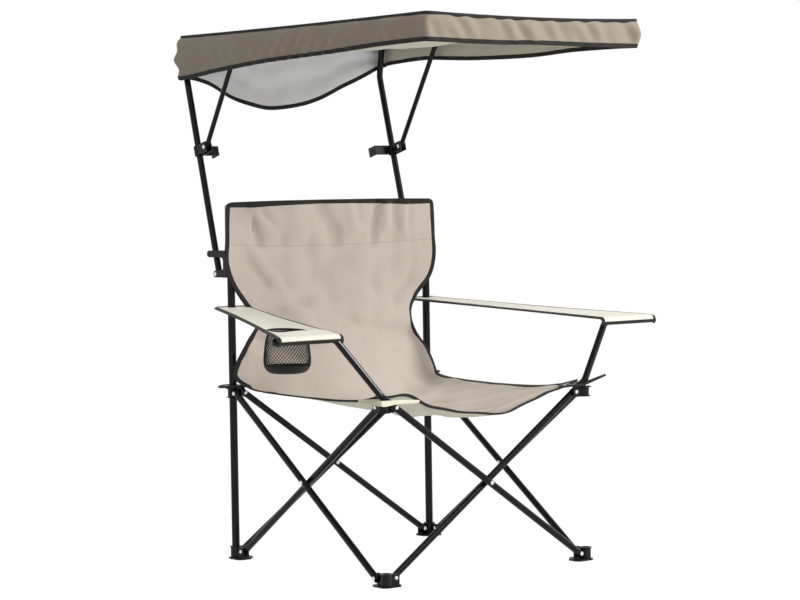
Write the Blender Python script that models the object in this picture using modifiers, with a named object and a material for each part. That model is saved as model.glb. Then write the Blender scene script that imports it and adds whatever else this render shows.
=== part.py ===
"""Canopy folding chair: a square frame of crossed tubes that folds inward, a sling, two
cloth armrests and a sun canopy on two poles. Metres, +Z up, the chair faces -Y, and
right means the sitter's right, which is -X."""

import math

import bmesh
import bpy
from mathutils import Matrix, Quaternion, Vector

# Running and seating gap between touching pieces
GAP = 0.0003
# How far a cutter runs past what it cuts
OVERRUN = 0.002

# Footprint and posts
POST_SPACING = 0.600
POST_D = 0.019
POST_WALL = 0.0012
POST_TOP = 0.855

# Cross tubes
CROSS_D = 0.016
CROSS_WALL = 0.001
PIVOT_INSET = 0.026
FOOT_PIVOT_Z = 0.019
HUB_PIVOT_Z = 0.404
TUBE_END = 0.007

# Rivets
RIVET_SHANK_R = 0.0024
RIVET_HEAD_R = 0.0052
RIVET_HEAD_H = 0.0022

# Corner mouldings: the feet and the hubs
EAR_T = 0.0042
EAR_LENGTH = 0.036
EAR_CHAMFER = 0.003
SOCKET_WALL = 0.003
FOOT_TOP = 0.031
FOOT_FLOOR = 0.004
FOOT_RIM_H = 0.0025
FOOT_RIM_W = 0.002
PAD_MARGIN = 0.0035
PAD_CUT = 0.020
HUB_HALF_H = 0.012
HUB_FLANGE_H = 0.002
HUB_FLANGE_W = 0.0055

# Arm posts: the upper ends of the two front cross tubes
ARM_RISE_START = 0.046
ARM_TOP_OUT = 0.112
ARM_TOP_Z = 0.564
ARM_LEAN_BACK = 0.036
ARM_END_OUT = 0.272
ARM_BEND_R = 0.028

# Canopy brackets on the rear posts
BRACKET_BOTTOM = 0.683
BRACKET_TOP = 0.748
BRACKET_ARM_H = 0.0165
BRACKET_PLATE_T = 0.0026
BRACKET_WEB_T = 0.006
BRACKET_UPPER_REACH = 0.085
BRACKET_FRONT = 0.006

# Canopy poles
POLE_D = 0.016
POLE_WALL = 0.001
POLE_PIVOT_BACK = 0.050
POLE_LEAN_DEG = 15.0
POLE_BEND_ALONG = 0.510
POLE_BEND_R = 0.045

# Collars, struts and rails
COLLAR_BELOW_TIP = 0.2773894
COLLAR_H = 0.024
COLLAR_WALL = 0.0036
COLLAR_PIN_OUT = 0.036
COLLAR_EAR_T = 0.003
COLLAR_EAR_END = 0.009
COLLAR_PLATE_T = 0.003
COLLAR_PLATE_REACH = 0.057
COLLAR_PLATE_RETURN = 0.028
STRUT_D = 0.012
STRUT_WALL = 0.001
STRUT_END = 0.003
RAIL_D = 0.013
RAIL_WALL = 0.001
RAIL_PIN_AHEAD = 0.227
RAIL_SIDE_GAP = 0.001
RAIL_PIN_R = 0.003
RAIL_FRONT_SPACE = 0.012
RAIL_TAIL = 0.008

# Canopy cover
CANOPY_DEPTH = 1.000
CANOPY_WIDTH = 0.636
CANOPY_TOP = 1.270
CANOPY_SAG = 0.010
CANOPY_REAR_PAST = 0.030
CANOPY_CLOTH = 0.002
VALANCE_FRONT = 0.054
VALANCE_REAR = 0.096
REAR_FLAP_SAG = 0.062

# Sling: one cloth, cut at its fold lines into back, rear seat half and front seat half
SLING_CLOTH = 0.0024
BACK_TOP_Z = 0.860
SEAT_FRONT_INSET = 0.0175
SEAT_CORNER_LIFT = 0.0007

# Armrests and the cup pocket
ARMREST_CLOTH = 0.003
ARMREST_REAR_Z = 0.612
ARMREST_REAR_W = 0.104
ARMREST_REAR_SHIFT = -0.006
ARMREST_REAR_PAST = 0.018
ARMREST_FRONT_IN = 0.095
ARMREST_FRONT_OUT = 0.269
ARMREST_WAIST = 0.008
CUP_R = 0.043
CUP_AHEAD_SHARE = 0.75
CUP_SHIFT = 0.003
POCKET_DEPTH = 0.102
POCKET_R = 0.053
POCKET_NECK = 0.008
POCKET_SWELL = 0.012
POCKET_CLOTH = 0.0016
POCKET_FLOOR_R = 0.043
POCKET_RIM_GAP = 0.003

# Facet counts
ROUND_STEPS = 16
RIVET_STEPS = 8
BEVEL_RES = 6

HALF = POST_SPACING / 2
POST_R = POST_D / 2
CROSS_R = CROSS_D / 2
POLE_R = POLE_D / 2
STRUT_R = STRUT_D / 2
RAIL_R = RAIL_D / 2
# Each pair of cross tubes runs side by side, half a gap off the plane between them
LANE = CROSS_R + GAP / 2
CORNERS = {
    "rear_right": (-1, 1),
    "rear_left": (1, 1),
    "front_left": (1, -1),
    "front_right": (-1, -1),
}

# Stations of the sling from the top of the back to the front edge. Widths and places
# ahead or behind are shares of half the post spacing. Heights are shares of the rise from
# the seat's corners to the top of the back. Each row: middle y, middle z, edge x, edge y,
# edge z.
BACK_SHARES = (
    (1.000, 1.000, 1.000, 1.000, 1.000),
    (1.008, 0.890, 1.000, 1.000, 0.890),
    (1.010, 0.780, 1.000, 1.000, 0.780),
    (0.990, 0.670, 0.985, 1.000, 0.675),
    (0.950, 0.560, 0.900, 0.998, 0.575),
    (0.890, 0.450, 0.835, 0.985, 0.475),
    (0.815, 0.340, 0.835, 0.960, 0.375),
    (0.725, 0.230, 0.900, 0.940, 0.270),
    (0.610, 0.120, 0.965, 0.930, 0.160),
)
SEAT_REAR_SHARES = (
    (0.610, 0.120, 0.965, 0.930, 0.160),
    (0.500, 0.030, 0.990, 0.935, 0.070),
    (0.390, -0.035, 1.000, 1.000, 0.000),
    (0.270, -0.080, 0.955, 0.720, 0.003),
    (0.140, -0.110, 0.920, 0.360, -0.018),
    (0.000, -0.128, 0.915, 0.000, -0.022),
)
SEAT_FRONT_SHARES = (
    (0.000, -0.128, 0.915, 0.000, -0.022),
    (-0.250, -0.136, 0.920, -0.260, -0.022),
    (-0.500, -0.136, 0.935, -0.520, -0.018),
    (-0.760, -0.126, 0.965, -0.780, 0.003),
    (-1.000, -0.106, 1.008, -1.000, 0.000),
)

COLOURS = {
    "gloss_black": ((0.012, 0.012, 0.013), 0.22, 0.0),
    "black_plastic": ((0.018, 0.018, 0.020), 0.48, 0.0),
    "zinc": ((0.72, 0.72, 0.73), 0.30, 1.0),
    "beige_cloth": ((0.56, 0.50, 0.42), 0.85, 0.0),
    "cream_cloth": ((0.76, 0.74, 0.62), 0.85, 0.0),
    "khaki_cloth": ((0.40, 0.36, 0.29), 0.80, 0.0),
    "black_mesh": ((0.020, 0.020, 0.022), 0.75, 0.0),
}


def clear_scene():
    """Remove every object that is there at the start."""
    for obj in list(bpy.data.objects):
        bpy.data.objects.remove(obj, do_unlink=True)


def new_collection(name):
    """Return a new collection linked to the scene."""
    coll = bpy.data.collections.new(name)
    bpy.context.scene.collection.children.link(coll)
    return coll


clear_scene()
PARTS = new_collection("canopy_folding_chair")
CUTTERS = new_collection("cutters")


def material(name, slot):
    """Return a Principled material for one piece."""
    colour, roughness, metallic = COLOURS[slot]
    mat = bpy.data.materials.new(name)
    mat.use_nodes = True
    shader = mat.node_tree.nodes["Principled BSDF"]
    shader.inputs["Base Color"].default_value = (*colour, 1.0)
    shader.inputs["Roughness"].default_value = roughness
    shader.inputs["Metallic"].default_value = metallic
    mat.diffuse_color = (*colour, 1.0)
    return mat


def add_object(name, mesh, slot):
    """Link a mesh as a named piece with its own material."""
    obj = bpy.data.objects.new(name, mesh)
    PARTS.objects.link(obj)
    mesh.materials.clear()
    mesh.materials.append(material(name, slot))
    mesh.shade_smooth()
    mesh.set_sharp_from_angle(angle=math.radians(35))
    return obj


def add_cutter(name, mesh):
    """Link a mesh as a hidden wire-drawn cutter or tool."""
    obj = bpy.data.objects.new(name, mesh)
    CUTTERS.objects.link(obj)
    obj.hide_render = True
    obj.display_type = "WIRE"
    return obj


def mesh_from(bm, name):
    """Turn a bmesh into a mesh whose faces point out."""
    bmesh.ops.recalc_face_normals(bm, faces=bm.faces)
    mesh = bpy.data.meshes.new(name)
    bm.to_mesh(mesh)
    bm.free()
    return mesh


def cylinder_mesh(name, radius, start, end, steps=ROUND_STEPS):
    """A solid cylinder between two points."""
    a, b = Vector(start), Vector(end)
    span = b - a
    turn = Vector((0, 0, 1)).rotation_difference(span).to_matrix().to_4x4()
    bm = bmesh.new()
    bmesh.ops.create_cone(
        bm, cap_ends=True, cap_tris=False, segments=steps,
        radius1=radius, radius2=radius, depth=span.length,
        matrix=Matrix.Translation((a + b) / 2) @ turn,
    )
    return mesh_from(bm, name)


def box_mesh(name, size, matrix):
    """A box of the given size, placed by a matrix."""
    bm = bmesh.new()
    scale = Matrix.Diagonal((*size, 1.0))
    bmesh.ops.create_cube(bm, size=1.0, matrix=matrix @ scale)
    return mesh_from(bm, name)


def prism_mesh(name, outline, low, high, matrix=None):
    """Extrude a closed outline of (x, y) points from low to high along Z."""
    bm = bmesh.new()
    base = [bm.verts.new((x, y, low)) for x, y in outline]
    face = bm.faces.new(base)
    moved = bmesh.ops.extrude_face_region(bm, geom=[face])["geom"]
    tops = [item for item in moved if isinstance(item, bmesh.types.BMVert)]
    bmesh.ops.translate(bm, verts=tops, vec=(0, 0, high - low))
    if matrix is not None:
        bmesh.ops.transform(bm, matrix=matrix, verts=bm.verts)
    return mesh_from(bm, name)


def boolean(obj, tool, operation):
    """Add an exact Boolean modifier that unites or cuts with a tool."""
    mod = obj.modifiers.new(f"{operation.lower()} {tool.name}", "BOOLEAN")
    mod.operation = operation
    mod.solver = "EXACT"
    mod.object = tool


def cut(obj, mesh):
    """Cut a piece with a mesh."""
    boolean(obj, add_cutter(f"{obj.name}_cut", mesh), "DIFFERENCE")


def unite(obj, mesh):
    """Join a mesh to a piece as one body."""
    boolean(obj, add_cutter(f"{obj.name}_join", mesh), "UNION")


def drill(obj, centre, axis, radius, reach):
    """Cut a round hole through a piece, reach to each side of the centre."""
    offset = Vector(axis).normalized() * reach
    cut(obj, cylinder_mesh("drill", radius, Vector(centre) - offset, Vector(centre) + offset, RIVET_STEPS))


def rounded_path(points, radius, steps=4):
    """Round each inner corner of a path with an arc of the given radius."""
    pts = [Vector(p) for p in points]
    path = [pts[0]]
    for before, corner, after in zip(pts, pts[1:], pts[2:]):
        back = (before - corner).normalized()
        ahead = (after - corner).normalized()
        half_angle = back.angle(ahead) / 2
        reach = radius / math.tan(half_angle)
        centre = corner + (back + ahead).normalized() * radius / math.sin(half_angle)
        start = corner + back * reach - centre
        end = corner + ahead * reach - centre
        turn = start.rotation_difference(end)
        for step in range(steps + 1):
            path.append(centre + Quaternion().slerp(turn, step / steps) @ start)
    path.append(pts[-1])
    return path


def swept_mesh(name, points, radius, capped):
    """Sweep a circle along a path, as an open tube or a capped bar."""
    curve = bpy.data.curves.new(f"{name}_path", "CURVE")
    curve.dimensions = "3D"
    curve.bevel_depth = radius
    curve.bevel_resolution = BEVEL_RES
    curve.use_fill_caps = capped
    spline = curve.splines.new("POLY")
    spline.points.add(len(points) - 1)
    for point, place in zip(spline.points, points):
        point.co = (*place, 1.0)
    guide = bpy.data.objects.new(f"{name}_path", curve)
    CUTTERS.objects.link(guide)
    bpy.context.view_layer.update()
    graph = bpy.context.evaluated_depsgraph_get()
    mesh = bpy.data.meshes.new_from_object(guide.evaluated_get(graph))
    bpy.data.objects.remove(guide, do_unlink=True)
    bm = bmesh.new()
    bm.from_mesh(mesh)
    bmesh.ops.remove_doubles(bm, verts=bm.verts, dist=GAP / 10)
    bmesh.ops.recalc_face_normals(bm, faces=bm.faces)
    bm.to_mesh(mesh)
    bm.free()
    return mesh


def hollow_tube(name, points, diameter, wall, slot):
    """A thin-walled tube along a path, open at both ends."""
    obj = add_object(name, swept_mesh(name, points, diameter / 2, capped=False), slot)
    shell = obj.modifiers.new("wall", "SOLIDIFY")
    shell.thickness = wall
    shell.offset = -1
    shell.use_even_offset = True
    return obj


def rivet(name, start, end):
    """A rivet with a domed head at each end, seated on the faces at start and end."""
    a, b = Vector(start), Vector(end)
    half = (b - a).length / 2 + GAP
    crown = half + RIVET_HEAD_H
    shoulder_share = 0.72
    rim_share = 0.35
    profile = [
        (0, crown),
        (RIVET_HEAD_R * shoulder_share, half + RIVET_HEAD_H * (1 - rim_share)),
        (RIVET_HEAD_R, half),
        (RIVET_SHANK_R, half),
        (RIVET_SHANK_R, -half),
        (RIVET_HEAD_R, -half),
        (RIVET_HEAD_R * shoulder_share, -half - RIVET_HEAD_H * (1 - rim_share)),
        (0, -crown),
    ]
    bm = bmesh.new()
    verts = [bm.verts.new((x, 0, z)) for x, z in profile]
    for one, two in zip(verts, verts[1:]):
        bm.edges.new((one, two))
    mesh = bpy.data.meshes.new(name)
    bm.to_mesh(mesh)
    bm.free()
    obj = add_object(name, mesh, "zinc")
    screw = obj.modifiers.new("turned", "SCREW")
    screw.axis = "Z"
    screw.steps = RIVET_STEPS
    screw.render_steps = RIVET_STEPS
    screw.use_merge_vertices = True
    screw.merge_threshold = 0.0001
    obj.location = (a + b) / 2
    obj.rotation_mode = "QUATERNION"
    obj.rotation_quaternion = Vector((0, 0, 1)).rotation_difference(b - a)
    return obj


def arc(radius, start_deg, end_deg, steps, centre=(0, 0)):
    """Points along an arc, both ends included."""
    points = []
    for step in range(steps + 1):
        angle = math.radians(start_deg + (end_deg - start_deg) * step / steps)
        points.append((centre[0] + radius * math.cos(angle), centre[1] + radius * math.sin(angle)))
    return points


def corner_outline(boss_r, ear_a, ear_b, length):
    """Outline of a moulding: a round boss with one ear along each side of the frame.

    ear_a is the (low, high) place across of the ear that runs along +x, and ear_b the
    same for the ear along +y. Points run anticlockwise.
    """
    chamfer = EAR_CHAMFER / 2
    a_low, a_high = ear_a
    b_low, b_high = ear_b
    points = [
        (length - chamfer, a_low),
        (length, a_low + chamfer),
        (length, a_high - chamfer),
        (length - chamfer, a_high),
    ]
    inner_start = math.degrees(math.asin(a_high / boss_r))
    inner_end = math.degrees(math.acos(b_high / boss_r))
    points += arc(boss_r, inner_start, inner_end, ROUND_STEPS // 4)
    points += [
        (b_high, length - chamfer),
        (b_high - chamfer, length),
        (b_low + chamfer, length),
        (b_low, length - chamfer),
    ]
    outer_start = math.degrees(math.acos(b_low / boss_r))
    outer_end = 360 + math.degrees(math.asin(a_low / boss_r))
    points += arc(boss_r, outer_start, outer_end, ROUND_STEPS)
    return points


def pad_outline(low, high, radius, cut_length):
    """A rounded square whose inboard corner is cut off."""
    mid_low = low + radius
    mid_high = high - radius
    points = arc(radius, 180, 270, 4, (mid_low, mid_low))
    points += arc(radius, 270, 360, 4, (mid_high, mid_low))
    points += [(high, high - cut_length), (high - cut_length, high)]
    points += arc(radius, 90, 180, 4, (mid_low, mid_high))
    return points


def ears(outer_along_x):
    """Places across of the two ears: outside an inner tube, inside an outer tube."""
    inside = (GAP, GAP + EAR_T)
    outside = (-GAP - EAR_T, -GAP)
    if outer_along_x:
        return inside, outside
    return outside, inside


def outer_runs_along_x(corner, is_foot):
    """Tell which tube is the outer one: the frame is the same after each quarter turn."""
    sx, sy = CORNERS[corner]
    foot_outer_along_x = sx == sy * -1 and sy > 0 or sx > 0 and sy < 0
    return foot_outer_along_x == is_foot


def corner_matrix(corner):
    """Map a moulding's own x and y, which point inboard, to the frame."""
    sx, sy = CORNERS[corner]
    return Matrix.Translation((sx * HALF, sy * HALF, 0)) @ Matrix.Diagonal((-sx, -sy, 1, 1))


def ear_hole(corner, along_x, z):
    """Centre and axis of a moulding's rivet hole, in the frame."""
    sx, sy = CORNERS[corner]
    if along_x:
        return Vector((sx * (HALF - PIVOT_INSET), sy * HALF, z)), Vector((0, 1, 0))
    return Vector((sx * HALF, sy * (HALF - PIVOT_INSET), z)), Vector((1, 0, 0))


def drill_ears(obj, corner, z):
    """Drill both ears of a moulding for their rivets."""
    for along_x in (True, False):
        centre, axis = ear_hole(corner, along_x, z)
        drill(obj, centre, axis, RIVET_SHANK_R + GAP, EAR_T + OVERRUN)


def make_foot(corner):
    """A foot moulding: pad, socket for a post, and two ears."""
    boss_r = POST_R + GAP + SOCKET_WALL
    ear_a, ear_b = ears(outer_runs_along_x(corner, True))
    place = corner_matrix(corner)
    outline = corner_outline(boss_r, ear_a, ear_b, EAR_LENGTH)
    body = prism_mesh(f"{corner}_foot", outline, FOOT_FLOOR / 2, FOOT_TOP - FOOT_RIM_H / 2, place)
    foot = add_object(f"{corner}_foot", body, "black_plastic")
    pad_low = -boss_r - PAD_MARGIN
    pad = pad_outline(pad_low, EAR_LENGTH + PAD_MARGIN / 2, boss_r, PAD_CUT)
    unite(foot, prism_mesh("pad", pad, 0, FOOT_FLOOR, place))
    rim = arc(boss_r + FOOT_RIM_W, 0, 360 - 360 / ROUND_STEPS, ROUND_STEPS - 1)
    unite(foot, prism_mesh("rim", rim, FOOT_TOP - FOOT_RIM_H, FOOT_TOP, place))
    axis_place = Vector((CORNERS[corner][0] * HALF, CORNERS[corner][1] * HALF, 0))
    bore_low = axis_place + Vector((0, 0, FOOT_FLOOR))
    bore_high = axis_place + Vector((0, 0, FOOT_TOP + OVERRUN))
    cut(foot, cylinder_mesh("bore", POST_R + GAP, bore_low, bore_high))
    drill_ears(foot, corner, FOOT_PIVOT_Z)
    return foot


def arm_slot(corner):
    """The room that the arm-carrying front tube needs in its hub as the frame folds."""
    sx, sy = CORNERS[corner]
    rise = math.atan2(HUB_PIVOT_Z - FOOT_PIVOT_Z, POST_SPACING - 2 * PIVOT_INSET)
    lane = LANE if sx < 0 else -LANE
    pivot = Vector((sx * (HALF - PIVOT_INSET), sy * (HALF + lane), HUB_PIVOT_Z))
    length = 4 * EAR_LENGTH
    height = 2 * EAR_LENGTH
    width = CROSS_D + 2 * GAP - GAP
    along = Vector((sx * math.cos(rise), 0, math.sin(rise)))
    normal = Vector((-sx * math.sin(rise), 0, math.cos(rise)))
    centre = pivot + along * (length / 2 - CROSS_R) + normal * (height / 2 - CROSS_R - GAP)
    turn = Matrix.Rotation(-sx * rise, 4, "Y")
    return box_mesh("arm_slot", (length, width, height), Matrix.Translation(centre) @ turn)


def make_hub(corner):
    """A hub moulding: a sleeve that slides on the post, or a corner that carries an arm."""
    boss_r = POST_R + GAP + SOCKET_WALL
    ear_a, ear_b = ears(outer_runs_along_x(corner, False))
    place = corner_matrix(corner)
    low = HUB_PIVOT_Z - HUB_HALF_H
    high = HUB_PIVOT_Z + HUB_HALF_H
    outline = corner_outline(boss_r, ear_a, ear_b, EAR_LENGTH)
    body = prism_mesh(f"{corner}_hub", outline, low, high - HUB_FLANGE_H / 2, place)
    hub = add_object(f"{corner}_hub", body, "black_plastic")
    flange_r = boss_r + HUB_FLANGE_W
    top = arc(flange_r, 0, 360 - 360 / ROUND_STEPS, ROUND_STEPS - 1)
    unite(hub, prism_mesh("top_flange", top, high - HUB_FLANGE_H, high, place))
    lip_r = boss_r + HUB_FLANGE_W / 2
    lip = arc(lip_r, 0, 360 - 360 / ROUND_STEPS, ROUND_STEPS - 1)
    unite(hub, prism_mesh("low_lip", lip, low, low + HUB_FLANGE_H, place))
    sx, sy = CORNERS[corner]
    if sy > 0:
        bottom = Vector((sx * HALF, sy * HALF, low - OVERRUN))
        ceiling = Vector((sx * HALF, sy * HALF, high + OVERRUN))
        cut(hub, cylinder_mesh("bore", POST_R + GAP, bottom, ceiling))
    else:
        cut(hub, arm_slot(corner))
    drill_ears(hub, corner, HUB_PIVOT_Z)
    return hub


def tube_ends(side, outer):
    """Lower and upper pivot of one cross tube, and the axis that it turns about.

    The outer tube of a side rises clockwise seen from above, the inner one the other way.
    """
    inset = HALF - PIVOT_INSET
    lane = LANE if outer else -LANE
    spans = {
        "right": (Vector((-HALF - lane, -inset, 0)), Vector((-HALF - lane, inset, 0)), Vector((1, 0, 0))),
        "rear": (Vector((-inset, HALF + lane, 0)), Vector((inset, HALF + lane, 0)), Vector((0, 1, 0))),
        "left": (Vector((HALF + lane, inset, 0)), Vector((HALF + lane, -inset, 0)), Vector((1, 0, 0))),
        "front": (Vector((inset, -HALF - lane, 0)), Vector((-inset, -HALF - lane, 0)), Vector((0, 1, 0))),
    }
    low, high, axis = spans[side]
    if not outer:
        low, high = high, low
    return low + Vector((0, 0, FOOT_PIVOT_Z)), high + Vector((0, 0, HUB_PIVOT_Z)), axis


def arm_path(low, high):
    """Path of a front cross tube that runs on past its hub into an armrest."""
    along = (high - low).normalized()
    outward = 1 if high.x > low.x else -1
    bend = high + along * ARM_RISE_START
    top_x = outward * (HALF + ARM_TOP_OUT)
    top = Vector((top_x, high.y + ARM_LEAN_BACK, ARM_TOP_Z))
    end = Vector((outward * (HALF + ARM_END_OUT), high.y + ARM_LEAN_BACK, ARM_TOP_Z))
    return rounded_path([low - along * TUBE_END, bend, top, end], ARM_BEND_R)


def make_cross_tube(side, outer):
    """One of the eight cross tubes, drilled at both ends and at the crossing."""
    low, high, axis = tube_ends(side, outer)
    along = (high - low).normalized()
    name = f"{side}_{'outer' if outer else 'inner'}_tube"
    if side == "front":
        path = arm_path(low, high)
    else:
        path = [low - along * TUBE_END, high + along * TUBE_END]
    tube = hollow_tube(name, path, CROSS_D, CROSS_WALL, "gloss_black")
    for centre in (low, (low + high) / 2, high):
        drill(tube, centre, axis, RIVET_SHANK_R + GAP, CROSS_R + OVERRUN)
    return tube


def make_crossing_rivet(side):
    """The rivet on which a pair of cross tubes turns."""
    low_o, high_o, axis = tube_ends(side, True)
    low_i, high_i, _ = tube_ends(side, False)
    outer_mid = (low_o + high_o) / 2
    inner_mid = (low_i + high_i) / 2
    out = (outer_mid - inner_mid).normalized()
    return rivet(f"{side}_crossing_rivet", outer_mid + out * CROSS_R, inner_mid - out * CROSS_R)


def make_corner_rivet(corner, along_x, is_foot):
    """The rivet that pins a cross tube's end to a foot or a hub."""
    sx, sy = CORNERS[corner]
    z = FOOT_PIVOT_Z if is_foot else HUB_PIVOT_Z
    centre, axis = ear_hole(corner, along_x, z)
    outward = axis * (sy if along_x else sx)
    outer = outer_runs_along_x(corner, is_foot) == along_x
    tube_side = outward if outer else -outward
    tube_face = centre + tube_side * (CROSS_D + GAP / 2)
    ear_face = centre - tube_side * (GAP + EAR_T)
    kind = "foot" if is_foot else "hub"
    place = "cross" if along_x else "side"
    return rivet(f"{corner}_{kind}_{place}_rivet", tube_face, ear_face)


def make_post(side, sx):
    """A rear post, standing in its foot's socket."""
    low = Vector((sx * HALF, HALF, FOOT_FLOOR + GAP))
    high = Vector((sx * HALF, HALF, POST_TOP))
    return hollow_tube(f"{side}_rear_post", [low, high], POST_D, POST_WALL, "gloss_black")


POLE_UP = Vector((0, math.sin(math.radians(POLE_LEAN_DEG)), math.cos(math.radians(POLE_LEAN_DEG))))
POLE_AHEAD = Vector((0, -math.cos(math.radians(POLE_LEAN_DEG)), math.sin(math.radians(POLE_LEAN_DEG))))
POLE_PIVOT_Z = BRACKET_BOTTOM + BRACKET_ARM_H / 2


def canopy_z(x, y):
    """Height of the canopy's top panel, which sags between its rails and hems."""
    cross_share = 1 - (2 * x / CANOPY_WIDTH) ** 2
    long_share = 1 - (2 * y / CANOPY_DEPTH) ** 2
    return CANOPY_TOP - CANOPY_SAG * cross_share * long_share


def pole_pivot(sx):
    """Where a canopy pole turns in its bracket."""
    return Vector((sx * HALF, HALF + POLE_PIVOT_BACK, POLE_PIVOT_Z))


def pole_tip(sx):
    """Where a canopy rail turns on its pole."""
    z = canopy_z(rail_x(sx), 0) - CANOPY_CLOTH - GAP - RAIL_R
    return Vector((sx * HALF, CANOPY_DEPTH / 2 - CANOPY_REAR_PAST, z))


def collar_along(sx):
    """How far up its pole a collar sits, a set length below the pole's tip."""
    rise = pole_tip(sx).z - pole_pivot(sx).z
    return rise / POLE_UP.z - COLLAR_BELOW_TIP


def collar_pin(sx):
    """Where a strut turns in its collar."""
    return pole_pivot(sx) + POLE_UP * collar_along(sx) + POLE_AHEAD * COLLAR_PIN_OUT


def rail_x(sx):
    """Each rail runs beside its pole, on the inboard side."""
    return sx * (HALF - POLE_R - RAIL_SIDE_GAP - RAIL_R)


def make_bracket(side, sx):
    """A C-shaped bracket: two plates that hold the post and the pole, and a web between."""
    plate_in = POST_R + GAP
    plate_out = plate_in + BRACKET_PLATE_T
    web_back = POST_R + GAP + BRACKET_WEB_T
    lower_reach = POLE_PIVOT_BACK
    round_r = BRACKET_ARM_H / 2
    height = BRACKET_TOP - BRACKET_BOTTOM
    side_view = [(-BRACKET_FRONT, 0)]
    side_view += arc(round_r, -90, 90, 6, (lower_reach, round_r))
    side_view += arc(round_r, 270, 180, 3, (web_back + round_r, 3 * round_r))
    side_view += arc(round_r, 180, 90, 3, (web_back + round_r, height - 3 * round_r))
    upper_end = BRACKET_UPPER_REACH - round_r
    side_view += arc(round_r, -90, 90, 6, (upper_end, height - round_r))
    side_view += [(-BRACKET_FRONT, height)]
    upright = Matrix(((0, 0, 1, 0), (1, 0, 0, 0), (0, 1, 0, 0), (0, 0, 0, 1)))
    place = Matrix.Translation((sx * HALF, HALF, BRACKET_BOTTOM)) @ upright
    bracket = add_object(
        f"{side}_canopy_bracket",
        prism_mesh(f"{side}_canopy_bracket", side_view, -plate_out, plate_out, place),
        "black_plastic",
    )
    deep = BRACKET_UPPER_REACH + OVERRUN
    rear_low = web_back
    mid = (rear_low + deep) / 2
    rear_size = (2 * plate_in, deep - rear_low, height + 2 * OVERRUN)
    middle_z = BRACKET_BOTTOM + height / 2
    rear_room = Matrix.Translation((sx * HALF, HALF + mid, middle_z))
    cut(bracket, box_mesh("rear_room", rear_size, rear_room))
    front_size = (2 * plate_in, BRACKET_FRONT + OVERRUN, height + 2 * OVERRUN)
    front_room = Matrix.Translation((sx * HALF, HALF - front_size[1] / 2, middle_z))
    cut(bracket, box_mesh("front_room", front_size, front_room))
    low = Vector((sx * HALF, HALF, BRACKET_BOTTOM - OVERRUN))
    high = Vector((sx * HALF, HALF, BRACKET_TOP + OVERRUN))
    cut(bracket, cylinder_mesh("post_room", plate_in, low, high))
    for z in (BRACKET_BOTTOM + round_r, BRACKET_TOP - round_r):
        for face in (-1, 1):
            root = Vector((sx * HALF + face * (plate_out - BRACKET_PLATE_T / 2), HALF, z))
            tip = root + Vector((face * (BRACKET_PLATE_T / 2 + RIVET_HEAD_H), 0, 0))
            unite(bracket, cylinder_mesh("post_rivet_head", RIVET_HEAD_R, root, tip, RIVET_STEPS))
    drill(bracket, pole_pivot(sx), (1, 0, 0), RIVET_SHANK_R + GAP, plate_out + OVERRUN)
    return bracket


def make_pole(side, sx):
    """A canopy pole with its tip bent forward into the canopy."""
    pivot = pole_pivot(sx)
    tip = pole_tip(sx)
    bend = pivot + POLE_UP * POLE_BEND_ALONG
    past_tip = tip + (tip - bend).normalized() * TUBE_END
    path = rounded_path([pivot - POLE_UP * TUBE_END, bend, past_tip], POLE_BEND_R)
    pole = hollow_tube(f"{side}_canopy_pole", path, POLE_D, POLE_WALL, "gloss_black")
    drill(pole, pivot, (1, 0, 0), RIVET_SHANK_R + GAP, POLE_R + OVERRUN)
    drill(pole, tip, (1, 0, 0), RAIL_PIN_R + GAP, POLE_R + OVERRUN)
    return pole


def make_collar(side, sx):
    """A collar on the pole: sleeve, two ears for the strut and a plate on the inboard side."""
    sleeve_r = POLE_R + GAP + COLLAR_WALL
    ear_in = STRUT_R + GAP
    ear_out = ear_in + COLLAR_EAR_T
    tip = COLLAR_PIN_OUT + COLLAR_EAR_END
    flip = -sx
    outline = [
        (-ear_out, tip),
        (-ear_in, tip),
        (-ear_in, sleeve_r - COLLAR_WALL / 2),
        (ear_in, sleeve_r - COLLAR_WALL / 2),
        (ear_in, tip),
        (ear_out, tip),
    ]
    plate_half = COLLAR_PLATE_T / 2
    reach = COLLAR_PLATE_REACH
    first = math.degrees(math.acos(ear_out / sleeve_r))
    plate_angle = math.degrees(math.asin(plate_half / sleeve_r))
    outline += arc(sleeve_r, first, plate_angle, 3)
    outline += [
        (reach, plate_half),
        (reach, -COLLAR_PLATE_RETURN),
        (reach - COLLAR_PLATE_T, -COLLAR_PLATE_RETURN),
        (reach - COLLAR_PLATE_T, -plate_half),
    ]
    outline += arc(sleeve_r, -plate_angle, -180 - first, ROUND_STEPS)
    outline = [(flip * x, y) for x, y in outline]
    across = Matrix.Identity(4)
    across.col[0].xyz = (1, 0, 0)
    across.col[1].xyz = POLE_AHEAD
    across.col[2].xyz = Vector((1, 0, 0)).cross(POLE_AHEAD)
    centre = pole_pivot(sx) + POLE_UP * collar_along(sx)
    place = Matrix.Translation(centre) @ across
    collar = add_object(
        f"{side}_collar",
        prism_mesh(f"{side}_collar", outline, -COLLAR_H / 2, COLLAR_H / 2, place),
        "black_plastic",
    )
    reach_up = POLE_UP * (COLLAR_H / 2 + OVERRUN)
    cut(collar, cylinder_mesh("bore", POLE_R + GAP, centre - reach_up, centre + reach_up))
    drill(collar, collar_pin(sx), (1, 0, 0), RIVET_SHANK_R + GAP, ear_out + OVERRUN)
    return collar


def strut_top(sx):
    """Where a strut's upper pin meets its rail."""
    return pole_tip(sx) - Vector((0, RAIL_PIN_AHEAD, 0))


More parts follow.
